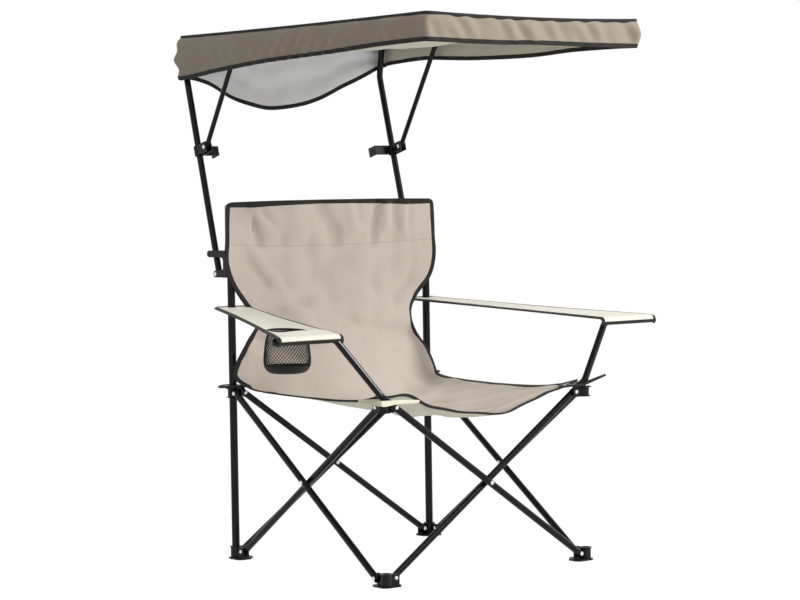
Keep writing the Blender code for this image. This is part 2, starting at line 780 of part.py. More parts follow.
def make_strut(side, sx):
    """A strut from the collar to the rail, with the pin at its upper end."""
    low = collar_pin(sx)
    high = strut_top(sx)
    along = (high - low).normalized()
    path = [low - along * (STRUT_R + GAP), high + along * STRUT_END]
    strut = hollow_tube(f"{side}_strut", path, STRUT_D, STRUT_WALL, "gloss_black")
    inboard = Vector((rail_x(sx) + sx * (RAIL_R + GAP), high.y, high.z))
    outboard = Vector((sx * (HALF + STRUT_R + OVERRUN / 2), high.y, high.z))
    unite(strut, cylinder_mesh("strut_pin", RIVET_SHANK_R, inboard, outboard, RIVET_STEPS))
    drill(strut, low, (1, 0, 0), RIVET_SHANK_R + GAP, STRUT_R + OVERRUN)
    return strut


def make_rail(side, sx):
    """A canopy rail with the pin on which it turns at the pole's tip."""
    tip = pole_tip(sx)
    x = rail_x(sx)
    start = Vector((x, tip.y + RAIL_TAIL, tip.z))
    end = Vector((x, -CANOPY_DEPTH / 2 + RAIL_FRONT_SPACE, tip.z))
    rail = hollow_tube(f"{side}_canopy_rail", [start, end], RAIL_D, RAIL_WALL, "gloss_black")
    inner = Vector((x - sx * (RAIL_R + OVERRUN / 2), tip.y, tip.z))
    outer = Vector((sx * (HALF + POLE_R + OVERRUN / 2), tip.y, tip.z))
    unite(rail, cylinder_mesh("rail_pin", RAIL_PIN_R, inner, outer, RIVET_STEPS))
    return rail


def make_pole_rivets(side, sx):
    """The rivets at a pole's foot and at its collar."""
    plate_out = POST_R + GAP + BRACKET_PLATE_T
    pivot = pole_pivot(sx)
    out = Vector((1, 0, 0))
    rivet(f"{side}_pole_rivet", pivot - out * plate_out, pivot + out * plate_out)
    ear_out = STRUT_R + GAP + COLLAR_EAR_T
    pin = collar_pin(sx)
    rivet(f"{side}_strut_rivet", pin - out * ear_out, pin + out * ear_out)


def grid_sheet(name, slot, place, rows, columns, thickness):
    """A sheet of cloth from a grid: place(row_share, column_share) gives each point."""
    bm = bmesh.new()
    grid = []
    for row in range(rows + 1):
        line = []
        for column in range(columns + 1):
            line.append(bm.verts.new(place(row / rows, column / columns)))
        grid.append(line)
    for row in range(rows):
        for column in range(columns):
            bm.faces.new((
                grid[row][column], grid[row][column + 1],
                grid[row + 1][column + 1], grid[row + 1][column],
            ))
    mesh = mesh_from(bm, name)
    obj = add_object(name, mesh, slot)
    cloth = obj.modifiers.new("cloth", "SOLIDIFY")
    cloth.thickness = thickness
    cloth.offset = 0
    return obj


def smooth_step(share):
    """Ease from 0 to 1."""
    share = min(max(share, 0), 1)
    return share * share * (3 - 2 * share)


def sling_station(shares, share):
    """Read the station table at a share of its length, with a smooth curve through it."""
    place = share * (len(shares) - 1)
    index = min(int(place), len(shares) - 2)
    t = place - index
    one, two = shares[index], shares[index + 1]
    before = shares[max(index - 1, 0)]
    after = shares[min(index + 2, len(shares) - 1)]
    values = []
    for a, b, c, d in zip(before, one, two, after):
        bend = 2 * b + (c - a) * t
        curve = bend + (2 * a - 5 * b + 4 * c - d) * t * t + (3 * b - a - 3 * c + d) * t ** 3
        values.append(curve / 2)
    return values


def sling_point(shares, share, across):
    """A point of the sling: each station curves from its middle out to its two edges."""
    mid_y, mid_z, edge_x, edge_y, edge_z = sling_station(shares, share)
    flat_edge_power = 1.6
    bow = 1 - (1 - across * across) ** flat_edge_power
    y_share = mid_y + (edge_y - mid_y) * bow
    z_share = mid_z + (edge_z - mid_z) * bow
    rear_y = HALF - POST_R - GAP - SLING_CLOTH / 2
    front_y = HALF - SEAT_FRONT_INSET
    y = y_share * (rear_y if y_share > 0 else front_y)
    low = seat_corner_z()
    return (across * edge_x * HALF, y, low + z_share * (BACK_TOP_Z - low))


def seat_corner_z():
    """The seat's corners lie on the hubs."""
    return HUB_PIVOT_Z + HUB_HALF_H + GAP + SEAT_CORNER_LIFT + SLING_CLOTH / 2


def make_sling_piece(name, shares, rows, trim_share):
    """One piece of the sling; trim_share keeps a hair's gap at the next piece."""
    def place(row, column):
        across = math.sin(math.pi * (column - 0.5))
        return sling_point(shares, row * (1 - trim_share), across)
    grid_sheet(name, "beige_cloth", place, rows, 10, SLING_CLOTH)


def make_sling():
    """The back hangs on the posts; the seat's two halves meet at the fold line."""
    trim_share = SLING_CLOTH / POST_SPACING
    make_sling_piece("sling_back", BACK_SHARES, 14, 3 * trim_share)
    make_sling_piece("sling_seat_rear", SEAT_REAR_SHARES, 9, 3 * trim_share)
    make_sling_piece("sling_seat_front", SEAT_FRONT_SHARES, 8, 0)


def armrest_line(share):
    """Inner edge, outer edge, y and z of an armrest, from its rear end to its front."""
    rear_in = ARMREST_REAR_SHIFT - ARMREST_REAR_W / 2
    rear_out = ARMREST_REAR_SHIFT + ARMREST_REAR_W / 2
    tube_y = -HALF - LANE + ARM_LEAN_BACK
    front_y = tube_y - CROSS_R
    rear_y = HALF + ARMREST_REAR_PAST
    waist = ARMREST_WAIST * math.sin(math.pi * share)
    inner = rear_in + (ARMREST_FRONT_IN - rear_in) * share + waist
    outer = rear_out + (ARMREST_FRONT_OUT - rear_out) * share - waist
    front_z = ARM_TOP_Z + CROSS_R + GAP + ARMREST_CLOTH / 2
    z = ARMREST_REAR_Z + (front_z - ARMREST_REAR_Z) * share
    return inner, outer, rear_y + (front_y - rear_y) * share, z


def cup_centre(sx):
    """Centre of the cup hole in an armrest."""
    inner, outer, y, z = armrest_line(CUP_AHEAD_SHARE)
    return Vector((sx * (HALF + (inner + outer) / 2 + CUP_SHIFT), y, z))


def make_armrest(side, sx, with_cup):
    """A cloth armrest from the rear post to the arm tube."""
    def place(row, column):
        inner, outer, y, z = armrest_line(row)
        return (sx * (HALF + inner + (outer - inner) * column), y, z)
    rest = grid_sheet(f"{side}_armrest", "cream_cloth", place, 10, 4, ARMREST_CLOTH)
    low = Vector((sx * HALF, HALF, ARMREST_REAR_Z - ARMREST_REAR_W))
    high = Vector((sx * HALF, HALF, ARMREST_REAR_Z + ARMREST_REAR_W))
    cut(rest, cylinder_mesh("post_hole", POST_R + GAP, low, high))
    if with_cup:
        centre = cup_centre(sx)
        reach = Vector((0, 0, CUP_R))
        cut(rest, cylinder_mesh("cup_hole", CUP_R, centre - reach, centre + reach, 2 * ROUND_STEPS))
    return rest


def make_cup_pocket(side, sx):
    """The mesh pocket that hangs under the cup hole."""
    top_r = CUP_R - GAP
    low = -POCKET_DEPTH
    round_share = 0.12
    profile = [
        (top_r, -POCKET_RIM_GAP),
        (top_r, -POCKET_NECK),
        (POCKET_R, -POCKET_NECK - POCKET_SWELL),
        (POCKET_R, low * (1 - 2 * round_share)),
        (POCKET_FLOOR_R, low * (1 - round_share / 4)),
        (POCKET_FLOOR_R * (1 - round_share), low),
        (0, low),
    ]
    bm = bmesh.new()
    verts = [bm.verts.new((x, 0, z)) for x, z in profile]
    for one, two in zip(verts, verts[1:]):
        bm.edges.new((one, two))
    mesh = bpy.data.meshes.new(f"{side}_cup_pocket")
    bm.to_mesh(mesh)
    bm.free()
    pocket = add_object(f"{side}_cup_pocket", mesh, "black_mesh")
    screw = pocket.modifiers.new("turned", "SCREW")
    screw.axis = "Z"
    screw.steps = 2 * ROUND_STEPS
    screw.render_steps = 2 * ROUND_STEPS
    screw.use_merge_vertices = True
    screw.merge_threshold = 0.0001
    cloth = pocket.modifiers.new("cloth", "SOLIDIFY")
    cloth.thickness = POCKET_CLOTH
    cloth.offset = -1
    pocket.location = cup_centre(sx)
    return pocket


def valance_drop(x, y):
    """How far the canopy's edge hangs at a place on its rim."""
    share = (y + CANOPY_DEPTH / 2) / CANOPY_DEPTH
    drop = VALANCE_FRONT + (VALANCE_REAR - VALANCE_FRONT) * smooth_step(share)
    if share > 1 - GAP:
        across = 2 * x / CANOPY_WIDTH
        drop += REAR_FLAP_SAG * (1 - across * across)
    return drop


def make_canopy():
    """The canopy's cover: a top panel with a valance all round and a deep rear flap."""
    columns, rows = 10, 12
    bm = bmesh.new()
    tops = {}
    for row in range(rows + 1):
        for column in range(columns + 1):
            x = CANOPY_WIDTH * (column / columns - 0.5)
            y = CANOPY_DEPTH * (row / rows - 0.5)
            tops[row, column] = bm.verts.new((x, y, canopy_z(x, y)))
    for row in range(rows):
        for column in range(columns):
            bm.faces.new((
                tops[row, column], tops[row, column + 1],
                tops[row + 1, column + 1], tops[row + 1, column],
            ))
    rim = [(0, column) for column in range(columns)]
    rim += [(row, columns) for row in range(rows)]
    rim += [(rows, column) for column in range(columns, 0, -1)]
    rim += [(row, 0) for row in range(rows, 0, -1)]
    hems = []
    for key in rim:
        top = tops[key].co
        hems.append(bm.verts.new((top.x, top.y, top.z - valance_drop(top.x, top.y))))
    count = len(rim)
    for index in range(count):
        after = (index + 1) % count
        bm.faces.new((tops[rim[index]], hems[index], hems[after], tops[rim[after]]))
    cover = add_object("canopy_cover", mesh_from(bm, "canopy_cover"), "khaki_cloth")
    cloth = cover.modifiers.new("cloth", "SOLIDIFY")
    cloth.thickness = CANOPY_CLOTH
    cloth.offset = -1
    cloth.use_even_offset = True
    return cover


def set_origin(name, place):
    """Put a piece's origin on its joint's axis without moving the piece."""
    obj = bpy.data.objects[name]
    offset = Vector(place) - obj.location
    obj.data.transform(Matrix.Translation(-offset))
    obj.location = place


def place_origins():
    """Moving pieces turn about their own origins."""
    for side in ("right", "rear", "left", "front"):
        low, _, _ = tube_ends(side, False)
        set_origin(f"{side}_inner_tube", low)
        low_o, high_o, _ = tube_ends(side, True)
        set_origin(f"{side}_outer_tube", (low_o + high_o) / 2)
    for side, sx in (("right", -1), ("left", 1)):
        set_origin(f"{side}_canopy_pole", pole_pivot(sx))
        set_origin(f"{side}_canopy_rail", pole_tip(sx))
        set_origin(f"{side}_strut", collar_pin(sx))
        set_origin(f"{side}_armrest", (sx * HALF, HALF, ARMREST_REAR_Z))


def build():
    """Make every piece."""
    for corner in CORNERS:
        make_foot(corner)
        make_hub(corner)
        for along_x in (True, False):
            make_corner_rivet(corner, along_x, True)
            make_corner_rivet(corner, along_x, False)
    for side in ("right", "rear", "left", "front"):
        make_cross_tube(side, True)
        make_cross_tube(side, False)
        make_crossing_rivet(side)
    for side, sx in (("right", -1), ("left", 1)):
        make_post(side, sx)
        make_bracket(side, sx)
        make_pole(side, sx)
        make_collar(side, sx)
        make_strut(side, sx)
        make_rail(side, sx)
        make_pole_rivets(side, sx)
        make_armrest(side, sx, with_cup=sx < 0)
    make_cup_pocket("right", -1)
    make_sling()
    make_canopy()
    place_origins()


build()
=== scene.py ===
"""Canopy folding chair, dressed: cloth, binding tape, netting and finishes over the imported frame.

Metres, +Z up. The chair faces -Y, and right means the sitter's right, which is -X.
"""
import logging
import math
from dataclasses import dataclass, field
from enum import Enum
from typing import Any, Sequence

import bmesh
import bpy
import numpy as np
from mathutils import Matrix, Vector


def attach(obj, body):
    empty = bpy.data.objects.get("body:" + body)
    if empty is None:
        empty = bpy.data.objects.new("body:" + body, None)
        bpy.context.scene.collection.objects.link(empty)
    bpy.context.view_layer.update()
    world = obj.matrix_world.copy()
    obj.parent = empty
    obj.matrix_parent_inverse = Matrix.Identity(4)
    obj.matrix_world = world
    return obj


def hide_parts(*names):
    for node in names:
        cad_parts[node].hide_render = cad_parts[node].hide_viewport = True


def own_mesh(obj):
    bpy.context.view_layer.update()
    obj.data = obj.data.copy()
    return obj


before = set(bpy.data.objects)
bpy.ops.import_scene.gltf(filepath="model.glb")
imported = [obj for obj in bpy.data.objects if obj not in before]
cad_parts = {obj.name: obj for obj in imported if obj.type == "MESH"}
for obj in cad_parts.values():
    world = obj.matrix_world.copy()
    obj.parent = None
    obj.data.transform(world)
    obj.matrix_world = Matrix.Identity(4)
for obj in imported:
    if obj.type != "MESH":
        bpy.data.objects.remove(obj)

LOG = logging.getLogger("canopy_chair")
Colour = tuple[float, float, float]
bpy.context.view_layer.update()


# Placing and sizes

class Side(Enum):
    """The two sides of the chair, named from the sitter's place."""

    RIGHT = -1
    LEFT = 1

    @property
    def word(self) -> str:
        """The side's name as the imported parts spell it."""
        return self.name.lower()


@dataclass(frozen=True)
class FrameSizes:
    """Sizes of the metal frame that the cloth is cut to."""

    post_x: float = 0.300
    post_y: float = 0.300
    post_r: float = 0.0095
    lane: float = 0.00815
    arm_tube_z: float = 0.564
    arm_lean: float = 0.036
    cross_r: float = 0.008
    fold_keep: float = 0.374


FRAME = FrameSizes()


@dataclass(frozen=True)
class Squash:
    """An axis, an anchor and a share kept, for gathering a soft piece while the frame folds; nothing
    here applies them.
    """

    axis: tuple[float, float, float] = (1.0, 0.0, 0.0)
    anchor: tuple[float, float, float] = (-FRAME.post_x, 0.0, 0.0)
    keep: float = FRAME.fold_keep


SIDEWAYS = Squash()


# Arrays

def smooth_rows(table: np.ndarray, steps: int) -> np.ndarray:
    """Join the rows of a table by a smooth curve.

    Between rows b and c the value is half of 2b + (c - a)u + (2a - 5b + 4c - d)u^2
    + (3b - a - 3c + d)u^3, where a and d are the rows before and after.

    Args:
        table: One row for each knot.
        steps: Points for each gap between knots.

    Returns:
        The rows of the smooth curve, the last knot included.
    """
    gaps = len(table) - 1
    where = np.linspace(0, gaps, gaps * steps + 1)
    first = np.minimum(where.astype(int), gaps - 1)
    u = (where - first)[:, None]
    ends = np.vstack([2 * table[0] - table[1], table, 2 * table[-1] - table[-2]])
    a, b, c, d = ends[first], ends[first + 1], ends[first + 2], ends[first + 3]
    return 0.5 * (2 * b + (c - a) * u + (2 * a - 5 * b + 4 * c - d) * u**2
                  + (3 * b - a - 3 * c + d) * u**3)


def unit(vectors: np.ndarray) -> np.ndarray:
    """Vectors of length one along the last axis."""
    return vectors / np.maximum(np.linalg.norm(vectors, axis=-1, keepdims=True), 1e-12)


def smooth_loop(knots: np.ndarray, steps: int) -> np.ndarray:
    """A smooth closed curve through knots, by the same formula with the ends joined."""
    wrapped = np.vstack([knots[-1:], knots, knots[:2]])
    return smooth_rows(wrapped, steps)[steps:(len(knots) + 1) * steps]


def along(points: np.ndarray, closed: bool = False) -> np.ndarray:
    """Unit directions along a path: the next point less the one before."""
    if closed:
        return unit(np.roll(points, -1, axis=0) - np.roll(points, 1, axis=0))
    return unit(np.gradient(points, axis=0))


def grid_normals(points: np.ndarray) -> np.ndarray:
    """Normals of a grid: the cross product of its column and row directions."""
    return unit(np.cross(np.gradient(points, axis=1), np.gradient(points, axis=0)))


def run_length(points: np.ndarray) -> np.ndarray:
    """Distance along a path at each of its points."""
    steps = np.linalg.norm(np.diff(points, axis=0), axis=-1)
    return np.concatenate([np.zeros((1, *steps.shape[1:])), np.cumsum(steps, axis=0)])


def cloth_uv(points: np.ndarray) -> np.ndarray:
    """Flat cloth coordinates in metres: lengths along the columns and the rows of a grid."""
    middle = points.shape[1] // 2
    across = run_length(points.transpose(1, 0, 2)).T
    across = across - across[:, middle:middle + 1]
    down = np.broadcast_to(run_length(points)[:, middle:middle + 1], across.shape)
    return np.stack([across, down], axis=-1)


def bell(distance: np.ndarray, width: float) -> np.ndarray:
    """A soft hump: e to the minus squared distance over squared width."""
    return np.exp(-(distance / width) ** 2)


@dataclass(frozen=True)
class Fold:
    """One soft ridge in cloth, from one place to another on the sheet's own plane."""

    start: tuple[float, float]
    end: tuple[float, float]
    width: float
    height: float

    def height_at(self, flat: np.ndarray) -> np.ndarray:
        """Height of the ridge over the cloth.

        The bell of the distance to the line, times a share that fades past both ends.

        Args:
            flat: Places on the sheet's plane, two numbers each.

        Returns:
            The height at each place.
        """
        a, b = np.array(self.start), np.array(self.end)
        line = b - a
        length = float(np.hypot(*line))
        direction = line / length
        ahead = (flat - a) @ direction
        aside = (flat - a) @ np.array([-direction[1], direction[0]])
        past = np.maximum(np.abs(ahead - length / 2) - length / 2, 0)
        return self.height * bell(aside, self.width) * bell(past, 0.25 * length)


def fold_heights(folds: Sequence[Fold], flat: np.ndarray) -> np.ndarray:
    """Sum of the heights of several folds."""
    return sum((fold.height_at(flat) for fold in folds), np.zeros(flat.shape[:-1]))


def ripple(flat: np.ndarray, seed: int, waves: int, shortest: float, longest: float) -> np.ndarray:
    """Uneven cloth: the mean of sine waves of seeded direction, length and place.

    Args:
        flat: Places on the sheet's plane, two numbers each.
        seed: Number that fixes the waves.
        waves: How many waves are added.
        shortest: Shortest wave in metres.
        longest: Longest wave in metres.

    Returns:
        Heights from about -1 to 1.
    """
    dice = np.random.default_rng(seed)
    turn = dice.uniform(0, 2 * math.pi, waves)
    size = 2 * math.pi / dice.uniform(shortest, longest, waves)
    shift = dice.uniform(0, 2 * math.pi, waves)
    run = flat[..., :1] * np.cos(turn) + flat[..., 1:] * np.sin(turn)
    return np.sin(run * size + shift).sum(axis=-1) / math.sqrt(waves)


# Meshes

def grid_faces(rows: int, columns: int, ring: bool) -> np.ndarray:
    """Corner numbers of the quads of a grid, closed round its columns if it is a ring."""
    row, column = np.meshgrid(np.arange(rows - 1), np.arange(columns - (not ring)), indexing="ij")
    beside = (column + 1) % columns
    return np.stack([row * columns + column, row * columns + beside,
                     (row + 1) * columns + beside, (row + 1) * columns + column],
                    axis=-1).reshape(-1, 4)


def face_corners(faces: np.ndarray, columns: int, wide: int) -> np.ndarray:
    """Corner numbers of a grid's quads in a table of cloth coordinates that is so many wide."""
    row, column = faces[:, 0] // columns, faces[:, 0] % columns
    return np.stack([row * wide + column, row * wide + column + 1,
                     (row + 1) * wide + column + 1, (row + 1) * wide + column], axis=-1)


def new_piece(name: str, points: np.ndarray, polygons: list[list[int]],
              uv: np.ndarray | None = None, shade: np.ndarray | None = None,
              recalculate: bool = True) -> bpy.types.Object:
    """Make a smooth piece.

    Args:
        name: Name of the piece.
        points: Its points, three numbers each.
        polygons: Point numbers of each face.
        uv: Cloth coordinates in metres, one pair for each corner of each face.
        shade: A number for each point, kept as the attribute named shade, which the cloth finishes
            darken by as painted shade.
        recalculate: Whether the faces are turned outwards.

    Returns:
        The new object, in the scene.
    """
    mesh = bpy.data.meshes.new(name)
    mesh.from_pydata(points.reshape(-1, 3).tolist(), [], polygons)
    if uv is not None:
        layer = mesh.uv_layers.new(name="cloth")
        layer.data.foreach_set("uv", uv.astype(np.float32).ravel())
    if shade is not None:
        attribute = mesh.attributes.new("shade", "FLOAT", "POINT")
        attribute.data.foreach_set("value", shade.astype(np.float32).ravel())
    piece = bpy.data.objects.new(name, mesh)
    bpy.context.scene.collection.objects.link(piece)
    tidy_mesh(mesh, recalculate)
    return piece


def grid_piece(name: str, points: np.ndarray, uv: np.ndarray | None = None, ring: bool = False,
               keep: np.ndarray | None = None, shade: np.ndarray | None = None) -> bpy.types.Object:
    """Make a smooth mesh of a grid of points.

    Args:
        name: Name of the piece.
        points: Rows by columns by three.
        uv: Cloth coordinates in metres, a column more than the points if it is a ring.
        ring: Whether the last column joins the first.
        keep: Which quads stay, or None for all.
        shade: A number for each point, kept as the attribute named shade, which the cloth finishes
            darken by as painted shade.

    Returns:
        The new object, in the scene.
    """
    rows, columns = points.shape[:2]
    faces = grid_faces(rows, columns, ring)
    if keep is not None:
        faces = faces[keep.ravel()]
    if uv is not None:
        uv = uv.reshape(-1, 2)[face_corners(faces, columns, columns + ring)]
    piece = new_piece(name, points, faces.tolist(), uv, shade, recalculate=False)
    sharpen_rim(piece.data)
    return piece


def tidy_mesh(mesh: bpy.types.Mesh, recalculate: bool) -> None:
    """Drop loose points, turn the faces outwards if asked, and shade smooth."""
    work = bmesh.new()
    work.from_mesh(mesh)
    loose = [vert for vert in work.verts if not vert.link_faces]
    bmesh.ops.delete(work, geom=loose, context="VERTS")
    if recalculate:
        bmesh.ops.recalc_face_normals(work, faces=work.faces)
    work.to_mesh(mesh)
    work.free()
    mesh.polygons.foreach_set("use_smooth", np.ones(len(mesh.polygons), bool))
    mesh.update()


def sharpen_rim(mesh: bpy.types.Mesh) -> None:
    """Mark the edges of one face only as sharp, so a rim doesn't tilt the sheet's shading."""
    loops = np.empty(len(mesh.loops), np.int32)
    mesh.loops.foreach_get("edge_index", loops)
    sharp = np.bincount(loops, minlength=len(mesh.edges)) == 1
    attribute = mesh.attributes.get("sharp_edge") or mesh.attributes.new(
        "sharp_edge", "BOOLEAN", "EDGE")
    attribute.data.foreach_set("value", sharp)


def swept_mesh(name: str, points: np.ndarray, closed: bool) -> bpy.types.Object:
    """Skin a row of rings.

    Args:
        name: Name of the piece.
        points: Stations by ring points by three.
        closed: Whether the last station joins the first.

    Returns:
        The new object, with closed ends.
    """
    rows, columns = points.shape[:2]
    ring = np.concatenate([points[:1], points[:1, :1]], axis=1)[0]
    outline = run_length(ring)
    if closed:
        points = np.concatenate([points, points[:1]])
    length = run_length(points[:, 0])
    uv = np.stack(np.broadcast_arrays(outline[None, :], length[:, None]), axis=-1)
    faces = grid_faces(len(points), columns, ring=True)
    flat_uv = uv.reshape(-1, 2)[face_corners(faces, columns, columns + 1)].reshape(-1, 2)
    if closed:
        polygons = (faces % (rows * columns)).tolist()
        points = points[:-1]
    else:
        ends = [list(range(columns))[::-1], list(range((rows - 1) * columns, rows * columns))]
        polygons = faces.tolist() + ends
        flat_uv = np.vstack([flat_uv, uv[0, :columns], uv[-1, :columns]])
    return new_piece(name, points, polygons, flat_uv)


def carried_profile(name: str, path: np.ndarray, side: np.ndarray, up: np.ndarray,
                    profile: np.ndarray, closed: bool) -> bpy.types.Object:
    """Carry a closed outline along a path.

    Each point is the path's point, plus the outline's first number along side and its second
    along up.

    Args:
        name: Name of the piece.
        path: Points of the path.
        side: Unit sideways directions at the path's points.
        up: Unit upward directions at the path's points.
        profile: Points of the outline, two numbers each.
        closed: Whether the path's end joins its start.

    Returns:
        The new object, with closed ends.
    """
    points = (path[:, None] + side[:, None] * profile[None, :, :1]
              + up[:, None] * profile[None, :, 1:])
    return swept_mesh(name, points, closed)


def sample_lines(lines: np.ndarray, distances: np.ndarray) -> np.ndarray:
    """Points at given distances along many lines, which run on straight before their start.

    The point is the mix of a line's two points on either side of the distance, by the share of
    the way between them.

    Args:
        lines: Lines by points by three.
        distances: Lines by distances from each line's first point.

    Returns:
        Lines by distances by three.
    """
    length = run_length(lines.transpose(1, 0, 2)).T
    first = (length[:, None, :] <= distances[..., None]).sum(axis=-1) - 1
    first = np.clip(first, 0, lines.shape[1] - 2)
    row = np.arange(len(lines))[:, None]
    gap = np.maximum(length[row, first + 1] - length[row, first], 1e-9)
    share = ((distances - length[row, first]) / gap)[..., None]
    return lines[row, first] * (1 - share) + lines[row, first + 1] * share


def tape_outline(wide: float, thick: float) -> np.ndarray:
    """Outline of a folded tape: distance in from the edge, and height over the cloth.

    Two half circles of half the thickness, round the edge and round the tape's inner end, with
    the two flat sides between them.
    """
    r = thick / 2
    nose = np.radians(np.linspace(90, -90, 7))
    run = np.linspace(0, wide - r, 6)[1:-1]
    outer = np.stack([-r * np.cos(nose), r * np.sin(nose)], axis=-1)
    under = np.stack([run, np.full_like(run, -r)], axis=-1)
    inner = np.stack([wide - r + r * np.cos(nose), -r * np.sin(nose)], axis=-1)
    over = np.stack([run[::-1], np.full_like(run, r)], axis=-1)
    return np.vstack([outer, under, inner, over])


def edge_lines(points: np.ndarray, edge: str, deep: int = 14) -> np.ndarray:
    """Lines of a grid that run in from one edge: its first or last row, or either column."""
    turned = {"first": points.transpose(1, 0, 2), "last": points[::-1].transpose(1, 0, 2),
              "right": points, "left": points[:, ::-1]}
    return turned[edge][:, :deep]


def soft_outline(low: float, high: float, thick: float, steps: int = 6) -> np.ndarray:
    """A flat outline with round ends, from low to high along its width.

    Half circles of half the thickness stand at both ends.
    """
    angle = np.linspace(-math.pi / 2, math.pi / 2, steps)
    r = thick / 2
    right = np.stack([high - r + r * np.cos(angle), r * np.sin(angle)], axis=-1)
    left = np.stack([low + r - r * np.cos(angle), -r * np.sin(angle)], axis=-1)
    return np.vstack([right, left])


def thicken(piece: bpy.types.Object, thick: float, offset: float = 0.0,
            lining: bool = False) -> bpy.types.Object:
    """Give a sheet its thickness, with the second finish inside if it has a lining."""
    wall = piece.modifiers.new("cloth", "SOLIDIFY")
    wall.thickness = thick
    wall.offset = offset
    wall.use_even_offset = False
    if lining:
        wall.material_offset = 1
        wall.material_offset_rim = 0
    return piece


# Finishes

def feed(tree: bpy.types.NodeTree, socket: bpy.types.NodeSocket, value: Any) -> None:
    """Set a socket to a value, or link another socket to it."""
    if isinstance(value, bpy.types.NodeSocket):
        tree.links.new(value, socket)
    else:
        socket.default_value = value


def add_node(tree: bpy.types.NodeTree, kind: str, inputs: dict[str | int, Any] | None = None,
             **facts: Any) -> bpy.types.Node:
    """Add a node to a tree.

    Args:
        tree: The node tree.
        kind: The node's type without its ShaderNode prefix.
        inputs: Values or sockets for its inputs, by name or number.
        facts: Its own properties.

    Returns:
        The node.
    """
    node = tree.nodes.new("ShaderNode" + kind)
    for word, value in facts.items():
        setattr(node, word, value)
    for key, value in (inputs or {}).items():
        feed(tree, node.inputs[key], value)
    return node


@dataclass
class Recipe:
    """A material while its nodes are being joined."""

    material: bpy.types.Material
    shader: bpy.types.Node = field(init=False)

    def __post_init__(self) -> None:
        """Clear the node tree and add the shader."""
        self.material.use_nodes = True
        self.tree.nodes.clear()
        self.shader = self.add("BsdfPrincipled")
        self.add("OutputMaterial", {0: self.shader.outputs[0]})

    @property
    def tree(self) -> bpy.types.NodeTree:
        """The material's node tree."""
        return self.material.node_tree

    def add(self, kind: str, inputs: dict[str | int, Any] | None = None,
            **facts: Any) -> bpy.types.Node:
        """Add a node with its inputs and its own properties."""
        return add_node(self.tree, kind, inputs, **facts)

    def math(self, how: str, one: Any, two: Any = 0.0, three: Any = 0.0) -> bpy.types.NodeSocket:
        """Result of a Math node."""
        return self.add("Math", {0: one, 1: two, 2: three}, operation=how).outputs[0]

    def blend(self, share: Any, one: Any, two: Any, how: str = "MIX") -> bpy.types.NodeSocket:
        """Result of mixing two colours."""
        node = self.add("Mix", {0: share, 6: one, 7: two}, data_type="RGBA", blend_type=how)
        return node.outputs[2]

    def spread(self, value: Any, low: float, high: float) -> bpy.types.NodeSocket:
        """A value from nought to one spread from low to high."""
        return self.add("MapRange", {0: value, 3: low, 4: high}).outputs[0]

    def dress(self, values: dict[str, Any]) -> None:
        """Set or link the shader's own sockets."""
        for word, value in values.items():
            feed(self.tree, self.shader.inputs[word], value)

    def bump(self, height: Any, distance: float, strength: float = 1.0,
             under: Any = None) -> bpy.types.NodeSocket:
        """Normal of a bump of that height, over another one if given."""
        inputs = {"Height": height, "Distance": distance, "Strength": strength}
        if under is not None:
            inputs["Normal"] = under
        return self.add("Bump", inputs).outputs[0]


def rgba(colour: Colour) -> tuple[float, float, float, float]:
    """The colour with full opacity."""
    return (*colour, 1.0)


def wave_scale(length: float) -> float:
    """Scale of a Wave node whose bands repeat after a length in metres."""
    return 2 * math.pi / (20 * length)


